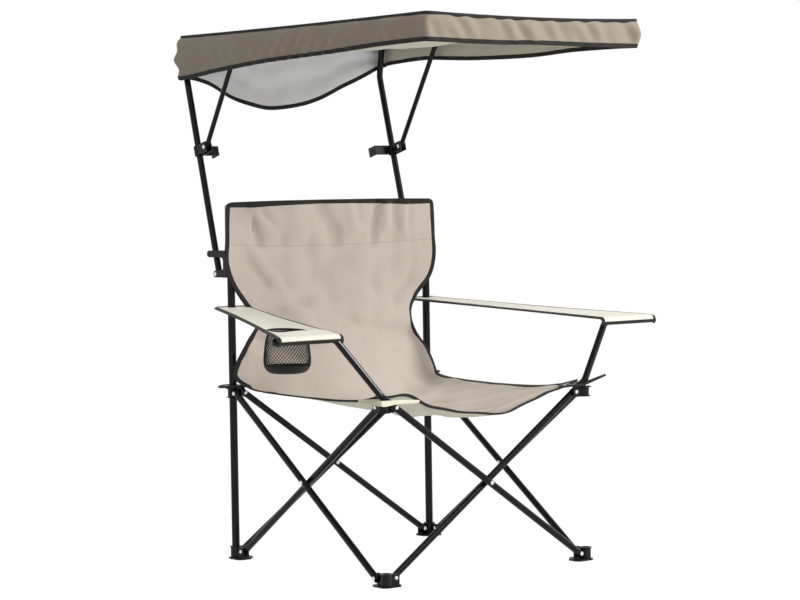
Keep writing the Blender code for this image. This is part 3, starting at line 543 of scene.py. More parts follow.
@dataclass(frozen=True)
class WovenCloth:
    """Plain woven cloth of the sling, the armrests and the canopy."""

    name: str
    colour: Colour
    deep: Colour
    thread: float = 0.0009
    relief: float = 0.00005
    rough: float = 0.82
    sheen: float = 0.15
    crease: float = 0.0010
    seams: tuple[float, ...] = ()
    seam_half: float = 0.0011
    seam_dip: float = 0.0006
    seam_reach: float = 0.004
    stitch: float = 0.0032

    def make(self) -> bpy.types.Material:
        """Two crossed waves for the threads, slubs and soft creases from noise, painted shade in the
        hollows from the shade attribute, and seams.

        Returns:
            The material.
        """
        recipe = Recipe(bpy.data.materials.new(self.name))
        uv = recipe.add("UVMap", uv_map="cloth").outputs[0]
        scale = wave_scale(self.thread)
        waves = [recipe.add("TexWave", {"Vector": uv, "Scale": scale, "Distortion": 0.6,
                                        "Detail": 1.0, "Detail Scale": 0.4},
                            wave_type="BANDS", bands_direction=way).outputs["Fac"]
                 for way in ("X", "Y")]
        weave = recipe.math("MULTIPLY", *waves)
        split = recipe.add("SeparateXYZ", {0: uv})
        slubs = []
        for stretch in ((140.0, 1400.0, 1.0), (1400.0, 140.0, 1.0)):
            place = recipe.add("Mapping", {"Vector": uv, "Scale": stretch}).outputs[0]
            slubs.append(recipe.add("TexNoise", {"Vector": place, "Scale": 1.0,
                                                 "Detail": 2.0}).outputs["Fac"])
        slub = recipe.math("MULTIPLY_ADD", slubs[0], 0.5, recipe.math("MULTIPLY", slubs[1], 0.5))
        cloud = recipe.add("TexNoise", {"Vector": uv, "Scale": 9.0, "Detail": 4.0,
                                        "Roughness": 0.6}).outputs["Fac"]
        # Painted shade: the shade attribute darkens the cloth towards its deep colour in its hollows.
        shade = recipe.add("Attribute", attribute_name="shade").outputs["Fac"]
        share = recipe.math("MULTIPLY_ADD", weave, 0.22, recipe.spread(slub, -0.15, 0.35))
        share = recipe.math("ADD", share, recipe.spread(cloud, -0.16, 0.16))
        share = recipe.math("ADD", share, shade)
        share = recipe.add("Clamp", {0: share}).outputs[0]
        tone = recipe.blend(share, rgba(self.colour), rgba(self.deep))
        crease = recipe.add("TexNoise", {"Vector": uv, "Scale": 26.0, "Detail": 3.0,
                                         "Distortion": 0.8}).outputs["Fac"]
        normal = recipe.bump(crease, self.crease, 0.6)
        for seam in self.seams:
            off = recipe.math("ABSOLUTE", recipe.math("SUBTRACT", split.outputs[1], seam))
            line = recipe.math("LESS_THAN", off, self.seam_half)
            dash = recipe.add("TexWave", {"Vector": uv, "Scale": wave_scale(self.stitch)},
                              bands_direction="X").outputs["Fac"]
            mark = recipe.math("MULTIPLY", line, recipe.spread(dash, 0.10, 0.45))
            tone = recipe.blend(mark, tone, rgba(tuple(0.62 * part for part in self.deep)))
            near = recipe.math("SUBTRACT", 1.0, recipe.math(
                "MINIMUM", recipe.math("DIVIDE", off, self.seam_reach), 1.0))
            normal = recipe.bump(near, -self.seam_dip, 0.8, normal)
        normal = recipe.bump(weave, self.relief, 0.7, normal)
        recipe.dress({"Base Color": tone, "Roughness": recipe.spread(cloud, self.rough - 0.08,
                                                                    self.rough + 0.08),
                      "Sheen Weight": self.sheen, "Sheen Roughness": 0.5,
                      "Specular IOR Level": 0.25, "Normal": normal})
        return recipe.material


@dataclass(frozen=True)
class RibbedTape:
    """Folded binding tape with a fine rib along it."""

    name: str = "binding_tape"
    colour: Colour = (0.012, 0.012, 0.011)
    pale: Colour = (0.030, 0.029, 0.026)
    rib: float = 0.0011

    def make(self) -> bpy.types.Material:
        """Ribs from a wave along the tape, wear from noise.

        Returns:
            The material.
        """
        recipe = Recipe(bpy.data.materials.new(self.name))
        uv = recipe.add("UVMap", uv_map="cloth").outputs[0]
        ribs = recipe.add("TexWave", {"Vector": uv, "Scale": wave_scale(self.rib),
                                      "Distortion": 0.4}, bands_direction="Y").outputs["Fac"]
        wear = recipe.add("TexNoise", {"Vector": uv, "Scale": 90.0, "Detail": 4.0}).outputs["Fac"]
        share = recipe.math("MULTIPLY_ADD", ribs, 0.35, recipe.spread(wear, -0.15, 0.55))
        share = recipe.add("Clamp", {0: share}).outputs[0]
        recipe.dress({"Base Color": recipe.blend(share, rgba(self.colour), rgba(self.pale)),
                      "Roughness": recipe.spread(wear, 0.62, 0.85), "Sheen Weight": 0.08,
                      "Specular IOR Level": 0.2,
                      "Normal": recipe.bump(ribs, 0.00018, 0.8)})
        return recipe.material


@dataclass(frozen=True)
class Coating:
    """A hard finish on metal or plastic: paint, moulded plastic or plating."""

    name: str
    colour: Colour
    worn: Colour
    rough: float
    metal: float = 0.0
    coat: float = 0.0
    gloss: float = 0.5
    grain: float = 0.00004
    grain_size: float = 500.0

    def make(self) -> bpy.types.Material:
        """Colour and roughness drift with noise, and fine noise makes the grain.

        Returns:
            The material.
        """
        recipe = Recipe(bpy.data.materials.new(self.name))
        place = recipe.add("TexCoord").outputs["Object"]
        drift = recipe.add("TexNoise", {"Vector": place, "Scale": 24.0, "Detail": 4.0,
                                        "Roughness": 0.65}).outputs["Fac"]
        grain = recipe.add("TexNoise", {"Vector": place, "Scale": self.grain_size,
                                        "Detail": 2.0}).outputs["Fac"]
        wear = recipe.add("MapRange", {0: drift, 1: 0.55, 2: 0.80, 3: 0.0, 4: 0.6}).outputs[0]
        recipe.dress({"Base Color": recipe.blend(wear, rgba(self.colour), rgba(self.worn)),
                      "Roughness": recipe.spread(drift, self.rough - 0.05, self.rough + 0.10),
                      "Metallic": self.metal, "Coat Weight": self.coat, "Coat Roughness": 0.08,
                      "Specular IOR Level": self.gloss,
                      "Normal": recipe.bump(grain, self.grain, 0.35)})
        return recipe.material


@dataclass(frozen=True)
class Finishes:
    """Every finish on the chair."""

    back: WovenCloth = WovenCloth("back_cloth", (0.62, 0.555, 0.480), (0.44, 0.388, 0.33),
                                  seams=(0.114,))
    seat: WovenCloth = WovenCloth("seat_cloth", (0.62, 0.555, 0.480), (0.44, 0.388, 0.33))
    reverse: WovenCloth = WovenCloth("cloth_reverse", (0.80, 0.78, 0.62), (0.66, 0.63, 0.49),
                                     rough=0.7, sheen=0.05)
    armrest: WovenCloth = WovenCloth("armrest_cloth", (0.86, 0.845, 0.73), (0.70, 0.68, 0.57))
    canopy: WovenCloth = WovenCloth("canopy_cloth", (0.310, 0.262, 0.200), (0.205, 0.170, 0.125),
                                    rough=0.62, sheen=0.3)
    lining: WovenCloth = WovenCloth("canopy_lining", (0.92, 0.93, 0.97), (0.68, 0.70, 0.76),
                                    rough=0.45, sheen=0.1, crease=0.0022)
    under: WovenCloth = WovenCloth("canopy_underside", (0.74, 0.72, 0.60), (0.55, 0.53, 0.44))
    tape: RibbedTape = RibbedTape()
    net: Coating = Coating("pocket_net", (0.020, 0.020, 0.021), (0.045, 0.044, 0.042), 0.6,
                           gloss=0.25)
    paint: Coating = Coating("gloss_black_paint", (0.0030, 0.0030, 0.0042),
                             (0.0060, 0.0065, 0.010), 0.17, coat=0.10, gloss=0.14)
    plastic: Coating = Coating("black_moulding", (0.0050, 0.0050, 0.0056),
                               (0.010, 0.010, 0.011), 0.42, gloss=0.22, grain=0.0001,
                               grain_size=900.0)
    zinc: Coating = Coating("bright_zinc", (0.72, 0.72, 0.74), (0.50, 0.50, 0.52), 0.28,
                            metal=1.0, grain=0.00004, grain_size=900.0)


class Slot(Enum):
    """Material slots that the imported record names."""

    BLACK = "gloss_black"
    PLASTIC = "black_plastic"
    ZINC = "zinc"
    BEIGE = "beige_cloth"
    CREAM = "cream_cloth"
    KHAKI = "khaki_cloth"
    MESH = "black_mesh"


class Wardrobe:
    """Makes each finish once and puts finishes on pieces."""

    def __init__(self, finishes: Finishes) -> None:
        """Keep the finishes and an empty store of materials."""
        self.finishes = finishes
        self.made: dict[str, bpy.types.Material] = {}

    def material(self, finish: WovenCloth | RibbedTape | Coating) -> bpy.types.Material:
        """The material of a finish, made on first use."""
        if finish.name not in self.made:
            self.made[finish.name] = finish.make()
        return self.made[finish.name]

    def dress(self, piece: bpy.types.Object, *finishes: WovenCloth | RibbedTape | Coating) -> None:
        """Put one or more finishes in a piece's slots."""
        piece.data.materials.clear()
        for finish in finishes:
            piece.data.materials.append(self.material(finish))

    def dress_frame(self) -> None:
        """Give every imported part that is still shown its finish."""
        look = {Slot.BLACK.value: self.finishes.paint, Slot.PLASTIC.value: self.finishes.plastic,
                Slot.ZINC.value: self.finishes.zinc}
        for name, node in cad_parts.items():
            if node.hide_render:
                continue
            slot = node_slot(name)
            for place in node.material_slots:
                place.material = self.material(look[slot])
            if not node.material_slots:
                node.data.materials.append(self.material(look[slot]))
            LOG.info("dressed %s as %s", name, slot)


def node_slot(name: str) -> str:
    """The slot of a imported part, from the ending of its name."""
    if name.endswith("rivet"):
        return Slot.ZINC.value
    if name.endswith(("foot", "hub", "bracket", "collar")):
        return Slot.PLASTIC.value
    return Slot.BLACK.value


# Soft parts

@dataclass
class SoftPart:
    """A sub-assembly of cloth pieces that share one wardrobe."""

    wardrobe: Wardrobe

    def fit(self, piece: bpy.types.Object, body: str, slot: Slot,
            squash: Squash | None = None) -> bpy.types.Object:
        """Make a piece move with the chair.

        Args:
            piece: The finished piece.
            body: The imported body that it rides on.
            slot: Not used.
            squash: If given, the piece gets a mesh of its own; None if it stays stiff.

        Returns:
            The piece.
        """
        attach(piece, body)
        if squash is not None:
            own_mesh(piece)
        LOG.info("%s rides on %s", piece.name, body)
        return piece

    def tape(self, name: str, edge: np.ndarray, inward: np.ndarray, closed: bool = False,
             wide: float = 0.0085, thick: float = 0.0030) -> bpy.types.Object:
        """Binding tape folded over an edge of flat cloth.

        The outline is flat with round ends. It starts half a thickness outside the edge, and
        its thickness stands along the cross product of the edge's run and the way inward.

        Args:
            name: Name of the piece.
            edge: Points along the edge.
            inward: Rough directions from the edge into the cloth.
            closed: Whether the edge is a loop.
            wide: Width of the folded tape.
            thick: Thickness over the cloth.

        Returns:
            The tape, dressed.
        """
        run = along(edge, closed)
        inward = unit(inward - run * (inward * run).sum(axis=-1, keepdims=True))
        piece = carried_profile(name, edge, inward, np.cross(run, inward),
                                soft_outline(-thick / 2, wide - thick / 2, thick), closed)
        self.wardrobe.dress(piece, self.wardrobe.finishes.tape)
        return piece

    def edge_tape(self, name: str, lines: np.ndarray, closed: bool = False,
                  wide: float = 0.0105, thick: float = 0.0032) -> bpy.types.Object:
        """Binding tape folded over an edge, lying on the curved cloth.

        A point of the outline is the place that far in along the cloth, plus its height along
        the cloth's normal. Where a line leaves the edge at a slant, its distances are divided
        by the sine of that angle, so the tape keeps its width.

        Args:
            name: Name of the piece.
            lines: Lines on the cloth that run in from the edge.
            closed: Whether the edge is a loop.
            wide: Width of the folded tape.
            thick: Thickness over the cloth.

        Returns:
            The tape, dressed.
        """
        outline = tape_outline(wide, thick)
        run = along(lines[:, 0], closed)
        away = unit(lines[:, 4] - lines[:, 0])
        sine = np.clip(np.linalg.norm(np.cross(run, away), axis=-1), 0.5, 1.0)
        inward = outline[None, :, 0] / sine[:, None]
        base = sample_lines(lines, inward)
        ahead = sample_lines(lines, inward + 0.0015) - base
        normal = unit(np.cross(np.broadcast_to(run[:, None], ahead.shape), ahead))
        points = base + normal * outline[None, :, 1:]
        piece = swept_mesh(name, points, closed)
        self.wardrobe.dress(piece, self.wardrobe.finishes.tape)
        return piece


@dataclass(frozen=True)
class PatchCut:
    """Sizes of a corner patch, seen from above."""

    centre: tuple[float, float]
    hole: tuple[float, float]
    tip: tuple[float, float]
    outline: tuple[tuple[float, float], ...]
    slope: float = 0.0
    high: float = 0.4207
    bend: float = 0.0
    tape: float = 0.0070


@dataclass
class Sling(SoftPart):
    """The seat and back: one cloth, cut at its two fold lines, with tape, sleeves and patches."""

    # Middle y, middle z, edge x, edge y, edge z and how much further the right edge reaches,
    # from the top of the back to the seat's front
    back_rows: tuple[tuple[float, ...], ...] = (
        (0.2890, 0.8660, 0.3050, 0.2885, 0.8635, 0.0000),
        (0.2892, 0.8560, 0.3165, 0.2885, 0.8555, 0.0000),
        (0.2905, 0.8130, 0.3195, 0.2885, 0.8200, 0.0000),
        (0.2910, 0.7620, 0.3210, 0.2885, 0.7700, 0.0000),
        (0.2870, 0.7120, 0.3230, 0.2885, 0.7200, 0.0000),
        (0.2760, 0.6640, 0.3060, 0.2880, 0.6680, 0.0000),
        (0.2590, 0.6160, 0.2560, 0.2840, 0.6180, 0.0170),
        (0.2370, 0.5680, 0.2330, 0.2790, 0.5760, 0.0060),
        (0.2100, 0.5200, 0.2450, 0.2750, 0.5300, 0.0260),
        (0.1765, 0.4712, 0.2780, 0.2700, 0.4850, 0.0270),
    )
    rear_rows: tuple[tuple[float, ...], ...] = (
        (0.1765, 0.4712, 0.2780, 0.2700, 0.4850, 0.0270),
        (0.1450, 0.4315, 0.2930, 0.2690, 0.4540, 0.0260),
        (0.1127, 0.4027, 0.2990, 0.2660, 0.4350, 0.0120),
        (0.0780, 0.3830, 0.2930, 0.2450, 0.4185, -0.0020),
        (0.0520, 0.3740, 0.2880, 0.1850, 0.4110, 0.0000),
        (0.0250, 0.3670, 0.2830, 0.0950, 0.4085, 0.0000),
        (0.0000, 0.3620, 0.2810, 0.0000, 0.4070, 0.0000),
    )
    front_rows: tuple[tuple[float, ...], ...] = (
        (0.0000, 0.3620, 0.2810, 0.0000, 0.4070, 0.0000),
        (-0.0700, 0.3585, 0.2820, -0.0750, 0.4075, 0.0000),
        (-0.1410, 0.3570, 0.2850, -0.1500, 0.4095, 0.0000),
        (-0.2150, 0.3610, 0.2890, -0.2220, 0.4160, 0.0000),
        (-0.2825, 0.3730, 0.2960, -0.2820, 0.4300, 0.0000),
    )
    cloth: float = 0.0012
    bow_power: float = 1.15
    whole: np.ndarray = field(init=False)
    tape_thick: dict[str, float] = field(default_factory=lambda: {
        "sling_back": 0.0032, "sling_seat_rear": 0.0038, "sling_seat_front": 0.0044})
    half_columns: int = 52
    row_steps: int = 12
    face_y: float = 0.2893
    post_zone: float = 0.24
    band_low: float = 0.70
    sleeve_low: float = 0.752
    sleeve_high: float = 0.858
    sleeve_gap: float = 0.0024
    sleeve_ends: tuple[tuple[float, float], ...] = ((-0.0190, -0.0108), (0.0180, -0.0108))
    bend_r: float = 0.004
    lift_from: float = -0.10
    lift_run: float = 0.18
    # Place, width and height of each rise of the seat's front
    front_rises: tuple[tuple[float, float, float], ...] = (
        (-0.215, 0.045, 0.020), (-0.110, 0.050, 0.007), (0.055, 0.050, -0.009))
    # Points each way that a hollow is measured against, its full depth and how dark the painted shade
    # in it gets
    hollow_reach: int = 4
    hollow_deep: float = 0.0018
    hollow_shade_dark: float = 0.45
    patches: dict[str, PatchCut] = field(default_factory=lambda: {
        "rear_right": PatchCut(
            (-0.300, 0.300), (0.0107, 0.0107), (-1.0, 0.0),
            ((-0.038, 0.000), (-0.020, 0.022), (0.012, 0.024), (0.030, 0.006), (0.034, -0.020),
             (0.010, -0.034), (-0.018, -0.022)), slope=-0.04),
        "rear_left": PatchCut(
            (0.300, 0.300), (0.0107, 0.0107), (1.0, 0.0),
            ((0.038, 0.000), (0.018, -0.022), (-0.010, -0.034), (-0.034, -0.020),
             (-0.030, 0.006), (-0.012, 0.024), (0.020, 0.022)), slope=-0.04),
        "front_right": PatchCut(
            (-0.2915, -0.30815), (0.0260, 0.0095), (-1.0, -0.9),
            ((-0.0340, 0.0700), (-0.0390, 0.0300), (-0.0380, -0.0220), (0.0100, -0.0235),
             (0.0740, -0.0190), (0.0560, 0.0060), (0.0200, 0.0200), (-0.0120, 0.0400)),
            bend=0.3205, tape=0.0),
        "front_left": PatchCut(
            (0.2915, -0.29185), (0.0260, 0.0095), (1.0, -0.99),
            ((0.0450, -0.0440), (-0.0050, -0.0310), (-0.0560, -0.0140), (-0.0400, 0.0240),
             (0.0060, 0.0500), (0.0330, 0.0120)), slope=0.42),
    })

    def sheet_points(self, rows: Sequence[Sequence[float]]) -> np.ndarray:
        """Points of one part of the cloth.

        Across the chair the share a runs from -1 to 1, closer together at the edges. x is a
        times the edge's x, the right edge's extra fades inwards by the fourth power of a, and
        y and z go from the middle's to the edge's by a bow of one less
        (1 - a squared) to the bow power.

        Args:
            rows: Stations of the cloth.

        Returns:
            Rows by columns by three.
        """
        table = smooth_rows(np.array(rows), self.row_steps)
        share = np.sin(np.pi / 2 * np.linspace(-1, 1, 2 * self.half_columns + 1))
        bow = 1 - (1 - share**2) ** self.bow_power
        mid_y, mid_z, edge_x, edge_y, edge_z, extra = (table[:, k:k + 1] for k in range(6))
        x = (edge_x + extra * (share < 0) * share**4) * share
        return np.stack([x, mid_y + (edge_y - mid_y) * bow, mid_z + (edge_z - mid_z) * bow], axis=-1)

    def wrinkle(self, points: np.ndarray, heights: np.ndarray) -> np.ndarray:
        """Move the cloth along its normals, less towards the taped edges."""
        share = np.linspace(-1, 1, points.shape[1])
        hold = 1 - np.abs(share)[None, :] ** 6
        return points + grid_normals(points) * (heights * hold)[..., None]

    def back_heights(self, points: np.ndarray) -> np.ndarray:
        """Folds of the back: soft upright ones in the top band, slanting ones below."""
        flat = points[..., [0, 2]]
        folds = (
            Fold((-0.268, 0.846), (-0.222, 0.775), 0.018, 0.0120),
            Fold((-0.250, 0.848), (-0.170, 0.790), 0.016, -0.0060),
            Fold((-0.205, 0.830), (-0.150, 0.772), 0.016, 0.0050),
            Fold((-0.110, 0.852), (-0.095, 0.785), 0.022, -0.0040),
            Fold((-0.030, 0.852), (0.015, 0.775), 0.026, 0.0110),
            Fold((0.050, 0.856), (0.070, 0.800), 0.014, -0.0050),
            Fold((0.138, 0.858), (0.128, 0.772), 0.010, 0.0095),
            Fold((0.165, 0.856), (0.165, 0.800), 0.012, -0.0070),
            Fold((0.196, 0.856), (0.200, 0.800), 0.010, 0.0055),
            Fold((0.228, 0.852), (0.228, 0.780), 0.013, -0.0055),
            Fold((0.252, 0.850), (0.258, 0.770), 0.013, 0.0095),
            Fold((0.262, 0.762), (0.268, 0.700), 0.016, 0.0065),
            Fold((-0.275, 0.748), (-0.205, 0.670), 0.015, 0.0075),
            Fold((-0.240, 0.730), (-0.130, 0.590), 0.024, -0.0055),
            Fold((-0.060, 0.745), (-0.010, 0.600), 0.040, 0.0035),
            Fold((0.110, 0.745), (0.070, 0.620), 0.030, -0.0030),
            Fold((0.285, 0.705), (0.180, 0.600), 0.022, 0.0060),
            Fold((0.230, 0.560), (0.060, 0.640), 0.024, -0.0055),
            Fold((-0.225, 0.585), (-0.100, 0.620), 0.020, 0.0050),
            Fold((-0.285, 0.515), (-0.185, 0.425), 0.016, -0.0085),
            Fold((-0.300, 0.470), (-0.225, 0.400), 0.013, 0.0060),
            Fold((-0.235, 0.540), (-0.120, 0.455), 0.018, 0.0060),
            Fold((-0.110, 0.560), (-0.040, 0.470), 0.026, -0.0040),
            Fold((0.235, 0.530), (0.040, 0.570), 0.022, 0.0055),
            Fold((0.270, 0.480), (0.120, 0.510), 0.018, -0.0050),
        )
        return fold_heights(folds, flat) + 0.0011 * ripple(flat, 7, 14, 0.06, 0.18)

    def seat_heights(self, points: np.ndarray) -> np.ndarray:
        """Folds of the seat: long ones that run from the corners towards the middle."""
        flat = points[..., :2]
        folds = (
            Fold((-0.262, 0.225), (-0.110, 0.120), 0.018, 0.0060),
            Fold((-0.275, 0.160), (-0.120, 0.080), 0.018, -0.0040),
            Fold((0.250, 0.225), (0.080, 0.110), 0.020, 0.0055),
            Fold((0.262, 0.150), (0.110, 0.070), 0.022, -0.0045),
            Fold((-0.255, -0.245), (-0.080, -0.110), 0.022, 0.0060),
            Fold((0.262, -0.250), (0.100, -0.130), 0.020, 0.0070),
            Fold((0.262, -0.200), (0.120, -0.060), 0.022, -0.0050),
            Fold((-0.170, -0.255), (-0.030, -0.150), 0.018, -0.0045),
            Fold((0.190, -0.262), (0.060, -0.180), 0.016, -0.0050),
            Fold((0.080, -0.262), (0.000, -0.160), 0.020, 0.0030),
            Fold((0.000, 0.030), (0.120, 0.020), 0.030, 0.0025),
            Fold((0.272, -0.262), (0.110, -0.232), 0.010, -0.0060),
        )
        return fold_heights(folds, flat) + 0.0010 * ripple(flat, 11, 14, 0.06, 0.18)

    def front_lift(self, points: np.ndarray) -> np.ndarray:
        """How much higher the seat's front lies on its right half, and lower past its middle.

        A sum of bells across the chair, times the square of the nearness to the front edge.
        """
        front = np.clip((self.lift_from - points[..., 1]) / self.lift_run, 0, 1) ** 2
        return front * sum(high * bell(points[..., 0] - place, wide)
                           for place, wide, high in self.front_rises)

    def clear_posts(self, points: np.ndarray) -> np.ndarray:
        """Keep the cloth before the posts' front face beside them and below the top band."""
        near = (np.abs(points[..., 0]) > self.post_zone) | (points[..., 2] < self.band_low)
        points[..., 1] = np.where(near, np.minimum(points[..., 1], self.face_y), points[..., 1])
        return points

    def make_sheet(self, node: str, body: str, rows: slice, edges: Sequence[str],
                   rests_on: Sequence[str]) -> None:
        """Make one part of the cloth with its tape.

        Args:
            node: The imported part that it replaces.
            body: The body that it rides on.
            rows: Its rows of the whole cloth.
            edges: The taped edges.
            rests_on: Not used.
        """
        look = self.wardrobe.finishes
        points = self.whole[rows]
        # The shade attribute carries painted shade in the cloth's hollows.
        piece = grid_piece(f"{node}_cloth", points, cloth_uv(self.whole)[rows],
                           shade=self.painted_hollow_shade(self.whole)[rows])
        piece.data.flip_normals()
        thicken(piece, self.cloth, lining=True)
        self.wardrobe.dress(piece, look.back if node == "sling_back" else look.seat, look.reverse)
        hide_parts(node)
        self.fit(piece, body, Slot.BEIGE, SIDEWAYS)
        for number, edge in enumerate(edges):
            tape = self.edge_tape(f"{node}_{edge}_tape", edge_lines(points, edge),
                                  wide=0.0090 if edge == "first" else 0.0105,
                                  thick=self.tape_thick[node] + 0.0003 * (number % 2))
            self.fit(tape, body, Slot.BEIGE, SIDEWAYS)
        cut_size(points)

    def painted_hollow_shade(self, points: np.ndarray) -> np.ndarray:
        """Painted shade in the cloth's hollows: its depth under its own mean over a square, as a
        darkening.
        """
        reach, span = self.hollow_reach, 2 * self.hollow_reach + 1
        wide = np.pad(points, ((reach, reach), (reach, reach), (0, 0)), mode="edge")
        total = np.cumsum(np.cumsum(wide, axis=0), axis=1)
        total = np.pad(total, ((1, 0), (1, 0), (0, 0)))
        mean = (total[span:, span:] - total[:-span, span:] - total[span:, :-span]
                + total[:-span, :-span]) / span**2
        depth = ((mean - points) * -grid_normals(points)).sum(axis=-1)
        middle = np.abs(np.linspace(-1, 1, points.shape[1]))[None] < 0.9
        return np.clip(depth / self.hollow_deep, 0, 1) * self.hollow_shade_dark * middle

    def make_sleeve(self, side: Side, low: float, high: float) -> None:
        """A sleeve of the back round the rear of a post.

        The cloth goes from the back's face round the post in an arc of 200 degrees, and its
        ends reach forward to the face.

        Args:
            side: Which post.
            low: Bottom of the sleeve.
            high: Top of the sleeve.
        """
        angle = np.radians(np.linspace(-100, 100, 25))
        radius = FRAME.post_r + self.sleeve_gap
        arc = np.stack([radius * np.sin(angle), radius * np.cos(angle)], axis=-1)
        ends = np.array(self.sleeve_ends)
        loop = np.vstack([ends[:1], arc, ends[1:]])
        height = np.linspace(low, high, 12)
        points = np.empty((len(height), len(loop), 3))
        points[..., 0] = side.value * FRAME.post_x + loop[None, :, 0] * -side.value
        points[..., 1] = FRAME.post_y + loop[None, :, 1]
        points[..., 2] = height[:, None]
        piece = grid_piece(f"{side.word}_post_sleeve", points, cloth_uv(points),
                           shade=np.zeros(points.shape[:2]))
        thicken(piece, self.cloth)
        self.wardrobe.dress(piece, self.wardrobe.finishes.seat)
        self.fit(piece, f"{side.word}_upright", Slot.BEIGE)
        cut_size(points)

    def make_patch(self, corner: str, patch: PatchCut) -> None:
        """A corner patch that the hub's tube passes through.

        The cloth goes straight from the hole's ellipse to a smooth closed outline at the same
        angle. It is flat over the hub, rises or falls evenly from 12 mm out towards its tip,
        and where it has a bend it turns down over the hub's outer faces in an arc of 4 mm.
        A patch without tape shows the cloth's reverse.

        Args:
            corner: The corner's name.
            patch: Its sizes.
        """
        tip = np.array(patch.tip) / np.hypot(*patch.tip)
        outside = smooth_loop(np.array(patch.outline), 12)
        away = unit(outside)
        inside = np.stack([patch.hole[0] * away[:, 0], patch.hole[1] * away[:, 1]], axis=-1)
        share = np.linspace(0, 1, 25)[:, None, None]
        flat = inside[None] * (1 - share) + outside[None] * share
        uv = np.concatenate([flat, flat[:, :1]], axis=1)
        rise = patch.slope * np.maximum(flat @ tip - 0.012, 0)
        places = flat + np.array(patch.centre)
        height = patch.high + rise - 0.10 * np.maximum(-(flat @ tip) - 0.012, 0)
        if patch.bend:
            places, fall = self.turn_down(places, patch.bend)
            ruffle = np.clip(fall / 0.02, 0, 1) * 0.0022 * ripple(flat, 21, 6, 0.025, 0.06)
            places = places + ruffle[..., None] * np.array([-0.7, -0.7])
            height = height - fall
        points = np.concatenate([places, height[..., None]], axis=-1)
        piece = grid_piece(f"{corner}_patch", points, uv, ring=True,
                           shade=np.zeros(points.shape[:2]))
        tidy_mesh(piece.data, recalculate=True)
        thicken(piece, 0.0014)
        look = self.wardrobe.finishes
        self.wardrobe.dress(piece, look.seat if patch.tape else look.reverse)
        body = f"{corner}_hub"
        self.fit(piece, body, Slot.BEIGE)
        if patch.tape:
            tape = self.edge_tape(f"{corner}_patch_tape", edge_lines(points, "last", 20),
                                  closed=True, wide=patch.tape, thick=0.0052)
            self.fit(tape, body, Slot.BEIGE)

    def turn_down(self, places: np.ndarray, bend: float) -> tuple[np.ndarray, np.ndarray]:
        """Turn a flat patch down past a distance from the chair's middle, in x and in y.

        For the length L past the bend, the place goes on by r times the sine of L over r and
        falls by r less r times its cosine, up to a quarter turn, and then falls straight.

        Args:
            places: Flat places, x and y.
            bend: Distance at which the cloth starts to turn.

        Returns:
            The new places, and how far each has fallen.
        """
        r = self.bend_r
        past = np.maximum(np.abs(places) - bend, 0)
        turn = np.minimum(past / r, math.pi / 2)
        ahead = r * np.sin(turn)
        fall = r * (1 - np.cos(turn)) + np.maximum(past - r * math.pi / 2, 0)
        inside = np.sign(places) * np.minimum(np.abs(places), bend)
        return inside + np.sign(places) * ahead, np.hypot(fall[..., 0], fall[..., 1])

    def build(self) -> None:
        """Make the three parts of the cloth, the sleeves and the corner patches."""
        back, rear, front = (self.sheet_points(rows) for rows in
                             (self.back_rows, self.rear_rows, self.front_rows))
        whole = np.concatenate([back, rear[1:], front[1:]])
        blend = np.clip((np.arange(len(whole)) - len(back) + 12) / 12, 0, 1)[:, None]
        heights = self.back_heights(whole) * (1 - blend) + self.seat_heights(whole) * blend
        whole = self.clear_posts(self.wrinkle(whole, heights))
        whole[..., 2] += self.front_lift(whole)
        self.whole = whole
        first, second = len(back), len(back) + len(rear) - 1
        self.make_sheet("sling_back", "right_upright", slice(0, first),
                        ("first", "right", "left"), ["right_rear_post", "left_rear_post"])
        self.make_sheet("sling_seat_rear", "seat_rear", slice(first - 1, second),
                        ("right", "left"), ["rear_right_hub", "rear_left_hub"])
        self.make_sheet("sling_seat_front", "seat_front", slice(second - 1, len(whole)),
                        ("last", "right", "left"), ["front_right_hub", "front_left_hub"])
        for side in Side:
            self.make_sleeve(side, self.sleeve_low, self.sleeve_high)
        for corner, patch in self.patches.items():
            self.make_patch(corner, patch)


def cut_size(points: np.ndarray) -> tuple[float, float]:
    """Width and length of a grid laid flat: its longest run across and its longest run down."""
    return (float(run_length(points.transpose(1, 0, 2))[-1].max()),
            float(run_length(points)[-1].max()))


